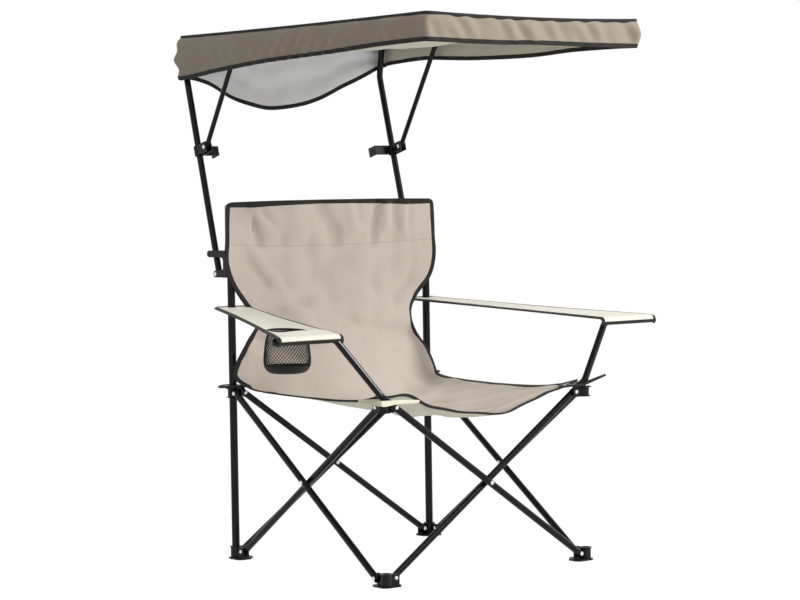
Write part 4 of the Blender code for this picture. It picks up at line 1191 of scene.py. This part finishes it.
@dataclass
class Armrest(SoftPart):
    """A cloth armrest from a rear post to an arm tube, with a cup pocket on the right."""

    side: Side = Side.RIGHT
    with_cup: bool = False
    rear_z: float = 0.612
    rear_in: float = -0.058
    rear_out: float = 0.038
    front_in: float = 0.095
    front_out: float = 0.269
    rear_y: float = 0.316
    waist: float = 0.008
    cloth: float = 0.0016
    sag: float = 0.008
    arch: float = 0.007
    curl: float = 0.003
    rows: int = 128
    columns: int = 28
    cup_share: float = 0.75
    cup_shift: float = 0.003
    cup_r: float = 0.0425
    wrap_degrees: float = 140.0
    wrap_rows: int = 14
    gather_x: float = 0.182
    gather_keep: float = 0.529
    sleeve_from: float = 0.128
    sleeve_to: float = 0.2725
    sleeve_gap: float = 0.0013
    sleeve_degrees: tuple[float, float] = (200.0, 395.0)
    # Row and column of the hole's middle, half size of its block, and ring of its edge
    post_hole: tuple[tuple[int, int], int, int] = ((3, 16), 3, 2)
    cup_hole: tuple[int, int] = (10, 7)

    @property
    def tube_y(self) -> float:
        """Where the arm tube's level run lies."""
        lane = FRAME.lane if self.side is Side.RIGHT else -FRAME.lane
        return -FRAME.post_y - lane + FRAME.arm_lean

    @property
    def front_z(self) -> float:
        """Height of the cloth over the arm tube."""
        return FRAME.arm_tube_z + FRAME.cross_r + 0.0018

    @property
    def slope(self) -> float:
        """Fall of the cloth towards the front, over its length."""
        return (self.front_z - self.rear_z) / (self.tube_y - self.rear_y)

    @property
    def squash(self) -> Squash:
        """Gather sizes for the armrest, along its length towards the post."""
        side = self.side.value
        axis = (side * self.gather_x, self.tube_y - FRAME.post_y, self.front_z - self.rear_z)
        return Squash(axis, (side * FRAME.post_x, FRAME.post_y, self.rear_z), self.gather_keep)

    def place(self, share: np.ndarray, across: np.ndarray) -> np.ndarray:
        """Points of the cloth.

        Both edges run straight from rear to front, drawn in at the waist by a sine, and the
        height falls straight from the rear to the front. A sine across sags between them, a
        bell arches the cloth up in front of the cup hole, and both edges curl down by the
        square of the nearness to the edge.

        Args:
            share: From 0 at the rear to 1 over the arm tube.
            across: From 0 at the inner edge to 1 at the outer.

        Returns:
            The points.
        """
        waist = self.waist * np.sin(np.pi * share)
        inner = self.rear_in + (self.front_in - self.rear_in) * share + waist
        outer = self.rear_out + (self.front_out - self.rear_out) * share - waist
        x = self.side.value * (FRAME.post_x + inner + (outer - inner) * across)
        y = self.rear_y + (self.tube_y - self.rear_y) * share
        bow = np.sin(np.pi * across)
        sag = self.sag * np.sin(np.pi * share ** 1.4) * bow
        edge = np.minimum(across, 1 - across) * (outer - inner)
        curl = self.curl * np.clip(1 - edge / 0.010, 0, 1) ** 2
        lift = self.arch * bell(share - 0.915, 0.050) * bow * self.with_cup
        z = self.rear_z + (self.front_z - self.rear_z) * share - sag - curl + lift
        return np.stack([x, y, z], axis=-1)

    def across_at(self, column: np.ndarray) -> np.ndarray:
        """Share across at a column: half of one less a cosine, so columns crowd at the edges."""
        return (1 - np.cos(np.pi * column / self.columns)) / 2

    def cup_centre(self) -> np.ndarray:
        """Middle of the cup hole."""
        middle = self.place(np.array(self.cup_share), np.array(0.5))
        middle[0] += self.side.value * self.cup_shift
        middle[2] -= 0.001
        return middle

    def open_hole(self, points: np.ndarray, keep: np.ndarray, node: tuple[int, int], block: int,
                  inner: int, centre: np.ndarray, radius: float) -> np.ndarray:
        """Bend a square block of the grid round a hole.

        A point's ring is the larger of its row and column distance from the node. From the
        inner ring to the block's edge, its place goes straight from the circle to where the
        edge is, and quads inside the inner ring are dropped.

        Args:
            points: The grid, changed in place.
            keep: Which quads stay, changed in place.
            node: Row and column of the hole's middle.
            block: Half size of the block in cells.
            inner: Ring number of the hole's edge.
            centre: Middle of the hole.
            radius: Radius of the hole.

        Returns:
            The loop of points round the hole.
        """
        rows, columns = np.meshgrid(np.arange(-block, block + 1), np.arange(-block, block + 1),
                                    indexing="ij")
        ring = np.maximum(np.abs(rows), np.abs(columns))
        safe = np.maximum(ring, 1)
        edge_row = node[0] + rows / safe * block
        edge_column = node[1] + columns / safe * block
        edge = self.place(edge_row / self.rows, self.across_at(edge_column))
        way = unit((edge - centre)[..., :2])
        circle = np.concatenate([centre[:2] + radius * way,
                                 np.broadcast_to(centre[2], (*way.shape[:2], 1))], axis=-1)
        slope = self.slope
        circle[..., 2] += slope * (circle[..., 1] - centre[1])
        share = np.clip((ring - inner) / (block - inner), 0, 1)[..., None]
        moved = circle * (1 - share) + edge * share
        where = (slice(node[0] - block, node[0] + block + 1),
                 slice(node[1] - block, node[1] + block + 1))
        points[where] = moved
        keep[node[0] - inner:node[0] + inner, node[1] - inner:node[1] + inner] = False
        angle = np.linspace(0, 2 * math.pi, 64, endpoint=False)
        return centre + np.stack([radius * np.cos(angle), radius * np.sin(angle),
                                  slope * radius * np.sin(angle)], axis=-1)

    def front_wrap(self, last: np.ndarray) -> np.ndarray:
        """Rows that take the cloth over the arm tube, in an arc round the tube's middle."""
        angle = np.radians(np.linspace(0, self.wrap_degrees, self.wrap_rows + 1))[1:, None]
        radius = self.front_z - FRAME.arm_tube_z
        rows = np.repeat(last[None], len(angle), axis=0)
        rows[..., 1] = self.tube_y - radius * np.sin(angle)
        rows[..., 2] = rows[..., 2] - radius * (1 - np.cos(angle))
        return rows

    def make_cloth(self) -> None:
        """Make the cloth with its holes, tapes and turn over the arm tube, then the tube's sleeve."""
        share, across = np.meshgrid(np.linspace(0, 1, self.rows + 1),
                                    self.across_at(np.arange(self.columns + 1)), indexing="ij")
        points = self.place(share, across)
        plain = points.copy()
        points[..., 2] += 0.0008 * ripple(points[..., :2], 5 + self.side.value, 10, 0.04, 0.12
                                          ) * np.sin(np.pi * share) * np.sin(np.pi * across)
        keep = np.ones((self.rows, self.columns), bool)
        post = np.array([self.side.value * FRAME.post_x, FRAME.post_y, self.rear_z - 0.0012])
        self.open_hole(points, keep, *self.post_hole, post, FRAME.post_r + 0.0012)
        word = self.side.word
        body = f"{word}_armrest"
        if self.with_cup:
            centre = self.cup_centre()
            node = (int(self.rows * self.cup_share), self.columns // 2)
            rim = self.open_hole(points, keep, node, *self.cup_hole, centre, self.cup_r)
            ring = self.tape(f"{word}_cup_rim_tape", rim, rim - centre, closed=True,
                             wide=0.0085, thick=0.0050)
            self.fit(ring, body, Slot.CREAM, self.squash)
        points = np.concatenate([points, self.front_wrap(points[-1])])
        keep = np.concatenate([keep, np.ones((self.wrap_rows, self.columns), bool)])
        piece = grid_piece(f"{word}_armrest_cloth", points, cloth_uv(points), keep=keep,
                           shade=np.zeros(points.shape[:2]))
        if self.side is Side.RIGHT:
            piece.data.flip_normals()
        thicken(piece, self.cloth)
        self.wardrobe.dress(piece, self.wardrobe.finishes.armrest)
        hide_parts(f"{word}_armrest")
        self.fit(piece, body, Slot.CREAM, self.squash)
        for edge, wide, thick in (("right", 0.0080, 0.0034), ("left", 0.0080, 0.0034),
                                  ("first", 0.0085, 0.0038), ("last", 0.0080, 0.0038)):
            spot = {"right": "inner", "left": "outer", "first": "rear", "last": "front"}[edge]
            tape = self.edge_tape(f"{word}_armrest_{spot}_tape", edge_lines(points, edge, 12),
                                  wide=wide, thick=thick)
            self.fit(tape, body, Slot.CREAM, self.squash)
        full = np.concatenate([plain, self.front_wrap(plain[-1])])
        cut_size(full)
        self.make_tube_sleeve()

    def make_tube_sleeve(self) -> None:
        """A dark webbing sleeve under the arm tube, from the front edge of the cloth to behind.

        It goes round the tube in an arc, and past the tube's end its radius shrinks to
        nothing, where it is sewn shut.
        """
        word = self.side.word
        angle = np.radians(np.linspace(*self.sleeve_degrees, 29))
        out = np.concatenate([np.linspace(self.sleeve_from, self.sleeve_to, 30),
                              self.sleeve_to + np.array([0.0010, 0.0015, 0.0016])])
        radius = np.full(len(out), FRAME.cross_r + self.sleeve_gap)
        radius[-3:] = (0.0088, 0.0050, 0.0008)
        points = np.empty((len(out), len(angle), 3))
        points[..., 0] = self.side.value * (FRAME.post_x + out[:, None])
        points[..., 1] = self.tube_y + radius[:, None] * np.cos(angle)
        points[..., 2] = FRAME.arm_tube_z + radius[:, None] * np.sin(angle)
        piece = grid_piece(f"{word}_arm_sleeve", points, cloth_uv(points))
        thicken(piece, 0.0012)
        self.wardrobe.dress(piece, self.wardrobe.finishes.tape)
        self.fit(piece, f"{word}_armrest", Slot.CREAM, self.squash)
        cut_size(points)

    def build(self) -> None:
        """Make the armrest, and the pocket if it has one."""
        self.make_cloth()
        if self.with_cup:
            CupPocket(self.wardrobe, self).build()


@dataclass
class CupPocket(SoftPart):
    """The net pocket under the cup hole, with a solid base and two seams."""

    armrest: Armrest
    # Distance down and radius
    profile: tuple[tuple[float, float], ...] = (
        (0.0000, 0.0430), (0.0080, 0.0440), (0.0220, 0.0480), (0.0450, 0.0510),
        (0.0640, 0.0525), (0.0780, 0.0510), (0.0870, 0.0465), (0.0920, 0.0400),
        (0.0945, 0.0290), (0.0950, 0.0160), (0.0950, 0.0005),
    )
    depth: float = 0.095
    strands: int = 42
    strand_r: float = 0.00072
    net_end: float = 0.079
    turn: float = 1.30
    seam_degrees: tuple[float, float] = (150.0, 330.0)

    def skin(self, down: np.ndarray) -> np.ndarray:
        """Radius of the pocket at a distance down."""
        table = smooth_rows(np.array(self.profile), 8)
        return np.interp(down, table[:, 0], table[:, 1])

    def net(self) -> bpy.types.Object:
        """The net: strands that wind both ways down the pocket.

        Each strand's angle grows evenly with the distance down, one way for half of them and
        the other way for the rest, and its section is a triangle.

        Returns:
            The net as one piece.
        """
        centre = self.armrest.cup_centre()
        down = np.linspace(0.002, self.net_end, 34)
        start = np.linspace(0, 2 * math.pi, self.strands, endpoint=False)
        way = np.array([1.0, -1.0])
        wobble = 0.0004 * np.sin(down * 1500)
        angle = (start[None, :, None]
                 + way[:, None, None] * (self.turn * down / self.net_end)[None, None, :])
        radius = (self.skin(down) + wobble)[None, None, :] + way[:, None, None] * self.strand_r * 0.8
        line = np.stack([radius * np.cos(angle), radius * np.sin(angle),
                         np.broadcast_to(-down, angle.shape)], axis=-1)
        out = np.stack([np.cos(angle), np.sin(angle), 0 * angle], axis=-1)
        run = unit(np.gradient(line, axis=2))
        aside = np.cross(run, out)
        corner = 2 * math.pi / 3 * np.arange(3)
        section = (np.cos(corner)[:, None] * out[..., None, :]
                   + np.sin(corner)[:, None] * aside[..., None, :]) * self.strand_r
        points = centre + line[..., None, :] + section
        many, long = 2 * self.strands, len(down)
        faces = grid_faces(long, 3, ring=True)
        faces = (faces[None] + (np.arange(many) * long * 3)[:, None, None]).reshape(-1, 4)
        base = np.arange(many)[:, None] * long * 3
        caps = np.concatenate([base + [2, 1, 0], base + (long - 1) * 3 + [0, 1, 2]])
        return new_piece("cup_pocket_net", points, faces.tolist() + caps.tolist())

    def shell(self, name: str, low: float, high: float) -> bpy.types.Object:
        """A solid band of the pocket between two distances down, closed at the bottom."""
        table = smooth_rows(np.array(self.profile), 8)
        table = table[(table[:, 0] > low + 1e-6) & (table[:, 0] < high)]
        table = np.vstack([[low, float(self.skin(np.array(low)))], table])
        if high < self.depth:
            table = np.vstack([table, [high, float(self.skin(np.array(high)))]])
        else:
            table = np.vstack([table, [self.depth, 0.0005]])
        angle = np.linspace(0, 2 * math.pi, 64, endpoint=False)
        ring = np.stack([np.cos(angle), np.sin(angle), 0 * angle], axis=-1)
        points = self.armrest.cup_centre() + table[:, None, 1:] * ring[None]
        points[..., 2] -= table[:, :1]
        lengths = run_length(table)
        around = np.linspace(0, 2 * math.pi * 0.043, 65)
        uv = np.stack(np.broadcast_arrays(around[None, :], lengths[:, None]), axis=-1)
        piece = grid_piece(name, points, uv, ring=True, shade=np.zeros(points.shape[:2]))
        piece.data.flip_normals()
        return thicken(piece, 0.0012)

    def build(self) -> None:
        """Make the net, the base, the hem and the seams."""
        look = self.wardrobe.finishes
        body, squash = "right_armrest", self.armrest.squash
        net = self.net()
        self.wardrobe.dress(net, look.net)
        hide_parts("right_cup_pocket")
        self.fit(net, body, Slot.MESH, squash)
        base = self.shell("cup_pocket_base", self.net_end - 0.003, self.depth)
        hem = self.shell("cup_pocket_hem", 0.0005, 0.0065)
        centre = self.armrest.cup_centre()
        for piece in (base, hem):
            self.wardrobe.dress(piece, look.tape)
            self.fit(piece, body, Slot.MESH, squash)
        down = np.linspace(0.001, 0.090, 30)
        for number, turn in enumerate(map(math.radians, self.seam_degrees)):
            out = np.array([math.cos(turn), math.sin(turn), 0.0])
            line = centre + self.skin(down)[:, None] * out - down[:, None] * np.array([0, 0, 1.0])
            aside = np.broadcast_to(np.array([-math.sin(turn), math.cos(turn), 0.0]), line.shape)
            seam = carried_profile(f"cup_pocket_seam_{number + 1}", line, aside,
                                   np.broadcast_to(out, line.shape),
                                   soft_outline(-0.0030, 0.0030, 0.0026), False)
            self.wardrobe.dress(seam, look.tape)
            self.fit(seam, body, Slot.MESH, squash)


@dataclass
class Canopy(SoftPart):
    """The sun canopy: a top panel, a valance all round, a deep rear flap, hems and linings."""

    half_wide: float = 0.318
    half_long: float = 0.500
    rear_long: float = 0.481
    taper: float = 0.050
    between_rails: float = 0.036
    top: float = 1.270
    sag: float = 0.006
    corner_r: float = 0.011
    cloth: float = 0.0012
    drops: int = 16
    rail_x: float = 0.262
    edge_dip: float = 0.002
    front_dip: float = 0.006
    # How far the valance swells at the sides, in front, behind and at the rear corner
    swells: tuple[float, float, float, float] = (0.0045, 0.0020, 0.0130, 0.0040)
    flutter: float = 0.0016
    flutter_run: float = 0.019
    level_wave: float = 0.0042
    pucker_high: float = 0.0034
    pucker_run: float = 0.044
    dent: float = 0.0045
    # y and the height of the near hem, from the rear to the front
    near_hem: tuple[tuple[float, float], ...] = (
        (0.500, 1.1660), (0.462, 1.1670), (0.380, 1.1740), (0.313, 1.1800), (0.110, 1.1930),
        (-0.143, 1.2010), (-0.322, 1.2080), (-0.475, 1.2110), (-0.500, 1.2110),
    )
    # y and the height of the far hem
    far_hem: tuple[tuple[float, float], ...] = (
        (0.500, 1.2100), (0.446, 1.2150), (0.333, 1.2200), (0.271, 1.2190), (0.105, 1.2100),
        (-0.108, 1.2060), (-0.265, 1.2110), (-0.404, 1.2110), (-0.500, 1.2090),
    )
    # x and the height of the front hem
    front_hem: tuple[tuple[float, float], ...] = (
        (-0.318, 1.2105), (-0.126, 1.2076), (-0.011, 1.2095), (0.156, 1.2080), (0.318, 1.2085),
    )
    # x and the height of the rear flap's hem
    rear_hem: tuple[tuple[float, float], ...] = (
        (-0.318, 1.1710), (-0.275, 1.1690), (-0.223, 1.1540), (-0.162, 1.1240), (-0.109, 1.1070),
        (-0.041, 1.0965), (0.049, 1.1060), (0.109, 1.1220), (0.176, 1.1500), (0.2285, 1.1715),
        (0.296, 1.2010), (0.318, 1.2090),
    )

    def top_z(self, x: np.ndarray, y: np.ndarray) -> np.ndarray:
        """Height of the top panel.

        It sags as a dome of parabolas, its edges dip a little, and between the rails it hangs
        lower by a parabola to the power of 1.5.
        """
        wide = 1 - (x / self.half_wide) ** 2
        long = 1 - (y / self.half_long) ** 2
        edge = self.edge_dip * np.clip(long, 0, 1) * (np.abs(x) / self.half_wide) ** 6
        end = np.clip(np.abs(y) / self.half_long, 0, 1) ** 10
        front = self.front_dip * np.clip(wide, 0, 1) * end
        middle = np.clip(1 - (x / self.rail_x) ** 2, 0, 1) ** 1.5
        hang = self.between_rails * middle * np.clip(long, 0, 1) ** 0.5
        return self.top - self.sag * wide * long - edge - front - hang

    def drawn_in(self, flat: np.ndarray) -> np.ndarray:
        """Places with the left half drawn in towards the front, and the rear drawn forward.

        x shrinks by the taper times half the length less y, and y shrinks behind by the rear's
        share of the half length.
        """
        x, y = flat[..., 0], flat[..., 1]
        x = np.where(x > 0, x * (1 - self.taper * (self.half_long - y)), x)
        y = np.where(y > 0, y * self.rear_long / self.half_long, y)
        return np.stack([x, y], axis=-1)

    def rim(self) -> tuple[np.ndarray, np.ndarray]:
        """The rim seen from above, as a rectangle with round corners.

        Returns:
            The loop's points and its outward directions, from the middle of the near side.
        """
        w, h, r = self.half_wide - self.corner_r, self.half_long - self.corner_r, self.corner_r
        turn = np.linspace(0, math.pi / 2, 9)
        points, ways = [], []
        # Start, end, outward angle and number of points of each straight
        sides = (((-w - r, 0), (-w - r, h), math.pi, 110),
                 ((-w, h + r), (w, h + r), math.pi / 2, 120),
                 ((w + r, h), (w + r, -h), 0.0, 200),
                 ((w, -h - r), (-w, -h - r), -math.pi / 2, 130),
                 ((-w - r, -h), (-w - r, 0), -math.pi, 100))
        corners = ((-w, h), (w, h), (w, -h), (-w, -h))
        for number, (a, b, angle, count) in enumerate(sides):
            step = np.linspace(0, 1, count, endpoint=False)[:, None]
            points.append(np.array(a) * (1 - step) + np.array(b) * step)
            ways.append(np.tile([math.cos(angle), math.sin(angle)], (count, 1)))
            if number < 4:
                bend = angle - turn[:-1]
                away = np.stack([np.cos(bend), np.sin(bend)], axis=-1)
                points.append(np.array(corners[number]) + r * away)
                ways.append(away)
        return self.drawn_in(np.vstack(points)), np.vstack(ways)

    def hem_z(self, x: np.ndarray, y: np.ndarray, way: np.ndarray) -> np.ndarray:
        """Height of the hem at places of the rim: each side's curve, mixed round the corners."""
        near, far, front, rear = (smooth_rows(np.array(table), 12) for table in
                                  (self.near_hem, self.far_hem, self.front_hem, self.rear_hem))
        values = np.stack([
            np.interp(-y, -near[:, 0], near[:, 1]), np.interp(-y, -far[:, 0], far[:, 1]),
            np.interp(x, front[:, 0], front[:, 1]), np.interp(x, rear[:, 0], rear[:, 1])], axis=-1)
        shares = np.stack([np.maximum(-way[:, 0], 0), np.maximum(way[:, 0], 0),
                           np.maximum(-way[:, 1], 0), np.maximum(way[:, 1], 0)], axis=-1) ** 2
        return (values * shares).sum(axis=-1) / shares.sum(axis=-1)

    def valance_points(self) -> tuple[np.ndarray, np.ndarray]:
        """The valance all round.

        Each column hangs straight down from the rim to the hem. It swells outwards by a sine of
        the share down, more behind, and ripples by waves along the rim. The rear flap has level
        waves too, the near side slanting puckers towards its hem, and the rear corner a dent.

        Returns:
            The points, rows by columns, and the share of each place that faces the rear.
        """
        flat, way = self.rim()
        x, y = flat.T
        high = self.top_z(x, y)
        drop = high - self.hem_z(x, y, way)
        share = np.linspace(0, 1, self.drops)[:, None]
        length = run_length(np.vstack([flat, flat[:1]]))[:-1]
        side = np.abs(way[:, 0]) ** 2
        front = np.maximum(-way[:, 1], 0) ** 2
        rear = np.maximum(way[:, 1], 0) ** 2
        corner = bell(x + self.half_wide, 0.05) * bell(y - self.rear_long, 0.07)
        at_side, at_front, at_rear, at_corner = self.swells
        swell = (at_side * side + at_front * front + at_rear * rear + at_corner * corner)[None]
        lean = (0.0090 * rear + 0.0030 * corner)[None] * share
        down = share * drop[None]
        along_rim = np.broadcast_to(length[None], down.shape)
        places = np.stack([along_rim + 0.35 * down, down], axis=-1)
        fine = ripple(places * np.array([1.0, 0.45]), 3, 9, 0.032, 0.065)
        wide = ripple(places * np.array([1.0, 0.30]), 4, 7, 0.08, 0.20)
        lively = 0.0040 * front + (0.0006 + 0.0022 * share ** 2) * side + 0.0016 * rear
        body = np.sin(np.pi * np.clip(share, 0, 1)) ** 0.7
        out = (swell * np.sin(np.pi * share ** 0.66) ** 0.9 + lean + lively * fine * body
               + (0.0016 * side + 0.0026 * rear + 0.0016 * front) * wide * body)
        out = out + self.flutter * share * np.sin(length / self.flutter_run)[None] * (front + rear)
        level = np.sin(2 * np.pi * (2.1 * share + 0.20 * np.sin(length / 0.07)[None]
                                    + 0.12 * np.sin(length / 0.031)[None]))
        out = out + self.level_wave * rear[None] * level * body
        pucker = np.sin(2 * np.pi * (y[None] - 1.2 * down) / self.pucker_run) * share ** 1.4
        near = np.maximum(-way[:, 0], 0) ** 2 * bell(y + 0.03, 0.17)
        out = out + self.pucker_high * near[None] * pucker
        out = out - self.dent * corner[None] * np.sin(2 * np.pi * share ** 1.2) ** 2
        points = np.empty((*down.shape, 3))
        points[..., 0] = x[None] + way[None, :, 0] * out
        points[..., 1] = y[None] + way[None, :, 1] * out
        points[..., 2] = high[None] - down
        return points, np.broadcast_to(rear[None], down.shape)

    def top_points(self) -> np.ndarray:
        """The top panel as a grid whose corners are rounded like the rim's."""
        x = np.linspace(-self.half_wide, self.half_wide, 61)
        y = np.linspace(-self.half_long, self.half_long, 97)
        y_grid, x_grid = np.meshgrid(y, x, indexing="ij")
        w, h = self.half_wide - self.corner_r, self.half_long - self.corner_r
        a, b = np.maximum(np.abs(x_grid) - w, 0), np.maximum(np.abs(y_grid) - h, 0)
        squeeze = np.maximum(a, b) / np.maximum(np.hypot(a, b), 1e-9)
        both = (a > 0) & (b > 0)
        a, b = np.where(both, a * squeeze, a), np.where(both, b * squeeze, b)
        inside_x, inside_y = np.minimum(np.abs(x_grid), w), np.minimum(np.abs(y_grid), h)
        x_grid = np.sign(x_grid) * (inside_x + a)
        y_grid = np.sign(y_grid) * (inside_y + b)
        hold = np.clip(1 - (x_grid / self.half_wide) ** 4, 0, 1) * np.clip(
            1 - (y_grid / self.half_long) ** 4, 0, 1)
        flat = self.drawn_in(np.stack([x_grid, y_grid], axis=-1))
        z = self.top_z(flat[..., 0], flat[..., 1]) + 0.0014 * hold * ripple(flat, 9, 12, 0.09, 0.30)
        return np.concatenate([flat, z[..., None]], axis=-1)

    def build(self) -> None:
        """Make the panel, the valance and the tapes."""
        look = self.wardrobe.finishes
        body = "right_canopy_rail"
        top_points = self.top_points()
        top = grid_piece("canopy_top_panel", top_points, cloth_uv(top_points),
                         shade=np.zeros(top_points.shape[:2]))
        thicken(top, self.cloth, lining=True)
        self.wardrobe.dress(top, look.canopy, look.under)
        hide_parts("canopy_cover")
        self.fit(top, body, Slot.KHAKI, SIDEWAYS)
        points, rear = self.valance_points()
        length = run_length(np.vstack([points[0], points[0, :1]]))
        down = points[:1, :, 2] - points[..., 2]
        down = np.concatenate([down, down[:, :1]], axis=1)
        uv = np.stack(np.broadcast_arrays(length[None], down), axis=-1)
        valance = grid_piece("canopy_valance", points, uv, ring=True,
                             shade=np.zeros(points.shape[:2]))
        faces_rear = rear[:-1] > 0.5
        numbers = np.zeros(len(valance.data.polygons), np.int32)
        numbers[faces_rear.ravel()] = 2
        thicken(valance, self.cloth, lining=True)
        self.wardrobe.dress(valance, look.canopy, look.under, look.canopy, look.lining)
        valance.data.polygons.foreach_set("material_index", numbers)
        self.fit(valance, body, Slot.KHAKI, SIDEWAYS)
        up = np.broadcast_to(np.array([0.0, 0.0, 1.0]), points[-1].shape)
        hem = self.edge_tape("canopy_hem_tape", edge_lines(points, "last", 10), closed=True,
                             wide=0.0090)
        self.fit(hem, body, Slot.KHAKI, SIDEWAYS)
        edge = points[0] + np.array([0.0, 0.0, 0.0035])
        rim = self.tape("canopy_top_tape", edge, -up, closed=True, wide=0.0090, thick=0.0034)
        self.fit(rim, body, Slot.KHAKI, SIDEWAYS)
        cut_size(top_points)


# Studio

@dataclass(frozen=True)
class Studio:
    """Floor, light and camera."""

    camera_place: tuple[float, float, float] = (-3.6675, -4.7202, 0.9044)
    camera_right: tuple[float, float, float] = (0.79046, -0.61232, -0.01528)
    camera_up: tuple[float, float, float] = (0.04065, 0.02756, 0.99879)
    camera_ahead: tuple[float, float, float] = (0.61116, 0.79013, -0.04668)
    lens: float = 112.29
    sky: float = 0.42
    floor_half: float = 14.0
    floor_bounce: float = 0.80
    floor_glow: float = 1.12
    shadow_share: float = 0.14
    aim: tuple[float, float, float] = (0.0, 0.0, 0.6)
    # Name, place, size and power of each light
    lights: tuple[tuple[str, tuple[float, float, float], float, float], ...] = (
        ("key_light", (2.4, -3.6, 2.4), 1.0, 120.0),
        ("top_light", (-0.3, -2.8, 3.4), 1.0, 42.0),
        ("rear_light", (1.6, 3.6, 2.8), 1.4, 45.0),
    )

    def make_camera(self) -> None:
        """Put the camera at the photograph's viewpoint."""
        data = bpy.data.cameras.new("camera")
        data.lens = self.lens
        data.sensor_width = 36.0
        data.clip_start, data.clip_end = 0.05, 100.0
        camera = bpy.data.objects.new("camera", data)
        turn = Matrix([self.camera_right, self.camera_up,
                       [-part for part in self.camera_ahead]]).transposed().to_4x4()
        camera.matrix_world = Matrix.Translation(self.camera_place) @ turn
        bpy.context.scene.collection.objects.link(camera)
        bpy.context.scene.camera = camera

    def make_floor(self) -> None:
        """A plain floor that looks white and keeps the chair's shadow."""
        half = self.floor_half
        mesh = bpy.data.meshes.new("floor")
        mesh.from_pydata([(-half, -half, 0), (half, -half, 0), (half, half, 0), (-half, half, 0)],
                         [], [(0, 1, 2, 3)])
        floor = bpy.data.objects.new("floor", mesh)
        bpy.context.scene.collection.objects.link(floor)
        material = bpy.data.materials.new("floor_white")
        material.use_nodes = True
        tree = material.node_tree
        tree.nodes.clear()
        plain = add_node(tree, "BsdfDiffuse", {0: rgba((self.floor_bounce,) * 3)}).outputs[0]
        bright = add_node(tree, "Emission", {1: self.floor_glow}).outputs[0]
        kept = add_node(tree, "MixShader", {0: self.shadow_share, 1: bright, 2: plain}).outputs[0]
        seen = add_node(tree, "MixShader", {0: self.seen_ray(tree), 1: plain, 2: kept})
        add_node(tree, "OutputMaterial", {0: seen.outputs[0]})
        mesh.materials.append(material)

    def seen_ray(self, tree: bpy.types.NodeTree) -> bpy.types.NodeSocket:
        """One for rays from the camera, gloss and glass, nought for the rest."""
        ray = add_node(tree, "LightPath").outputs
        one = add_node(tree, "Math", {0: ray["Is Camera Ray"], 1: ray["Is Glossy Ray"]},
                       operation="MAXIMUM").outputs[0]
        return add_node(tree, "Math", {0: one, 1: ray["Is Transmission Ray"]},
                        operation="MAXIMUM").outputs[0]

    def make_sky(self) -> None:
        """A white backdrop that lights the chair at a plain level."""
        world = bpy.data.worlds.new("studio")
        world.use_nodes = True
        tree = world.node_tree
        tree.nodes.clear()
        white = rgba((1.0, 1.0, 1.0))
        light = add_node(tree, "Background", {0: white, 1: self.sky}).outputs[0]
        seen = add_node(tree, "Background", {0: white, 1: 1.0}).outputs[0]
        mix = add_node(tree, "MixShader", {0: self.seen_ray(tree), 1: light, 2: seen})
        add_node(tree, "OutputWorld", {0: mix.outputs[0]})
        bpy.context.scene.world = world

    def add_light(self, name: str, place: Sequence[float], size: float, power: float) -> None:
        """A square soft light that looks at the chair's middle."""
        data = bpy.data.lights.new(name, "AREA")
        data.shape = "SQUARE"
        data.size = size
        data.energy = power
        light = bpy.data.objects.new(name, data)
        way = Vector(self.aim) - Vector(place)
        light.rotation_mode = "QUATERNION"
        light.rotation_quaternion = way.to_track_quat("-Z", "Y")
        light.location = place
        bpy.context.scene.collection.objects.link(light)

    def build(self) -> None:
        """Make the camera, the floor and the lights."""
        self.make_camera()
        self.make_floor()
        self.make_sky()
        for light in self.lights:
            self.add_light(*light)
        bpy.context.scene.view_settings.view_transform = "Standard"


def main() -> None:
    """Build the studio, dress the frame and make every soft part in order."""
    logging.basicConfig(level=logging.INFO, format="%(name)s %(message)s")
    Studio().build()
    wardrobe = Wardrobe(Finishes())
    Sling(wardrobe).build()
    Armrest(wardrobe, Side.RIGHT, with_cup=True).build()
    Armrest(wardrobe, Side.LEFT).build()
    Canopy(wardrobe).build()
    wardrobe.dress_frame()


if __name__ == "__main__":
    main()
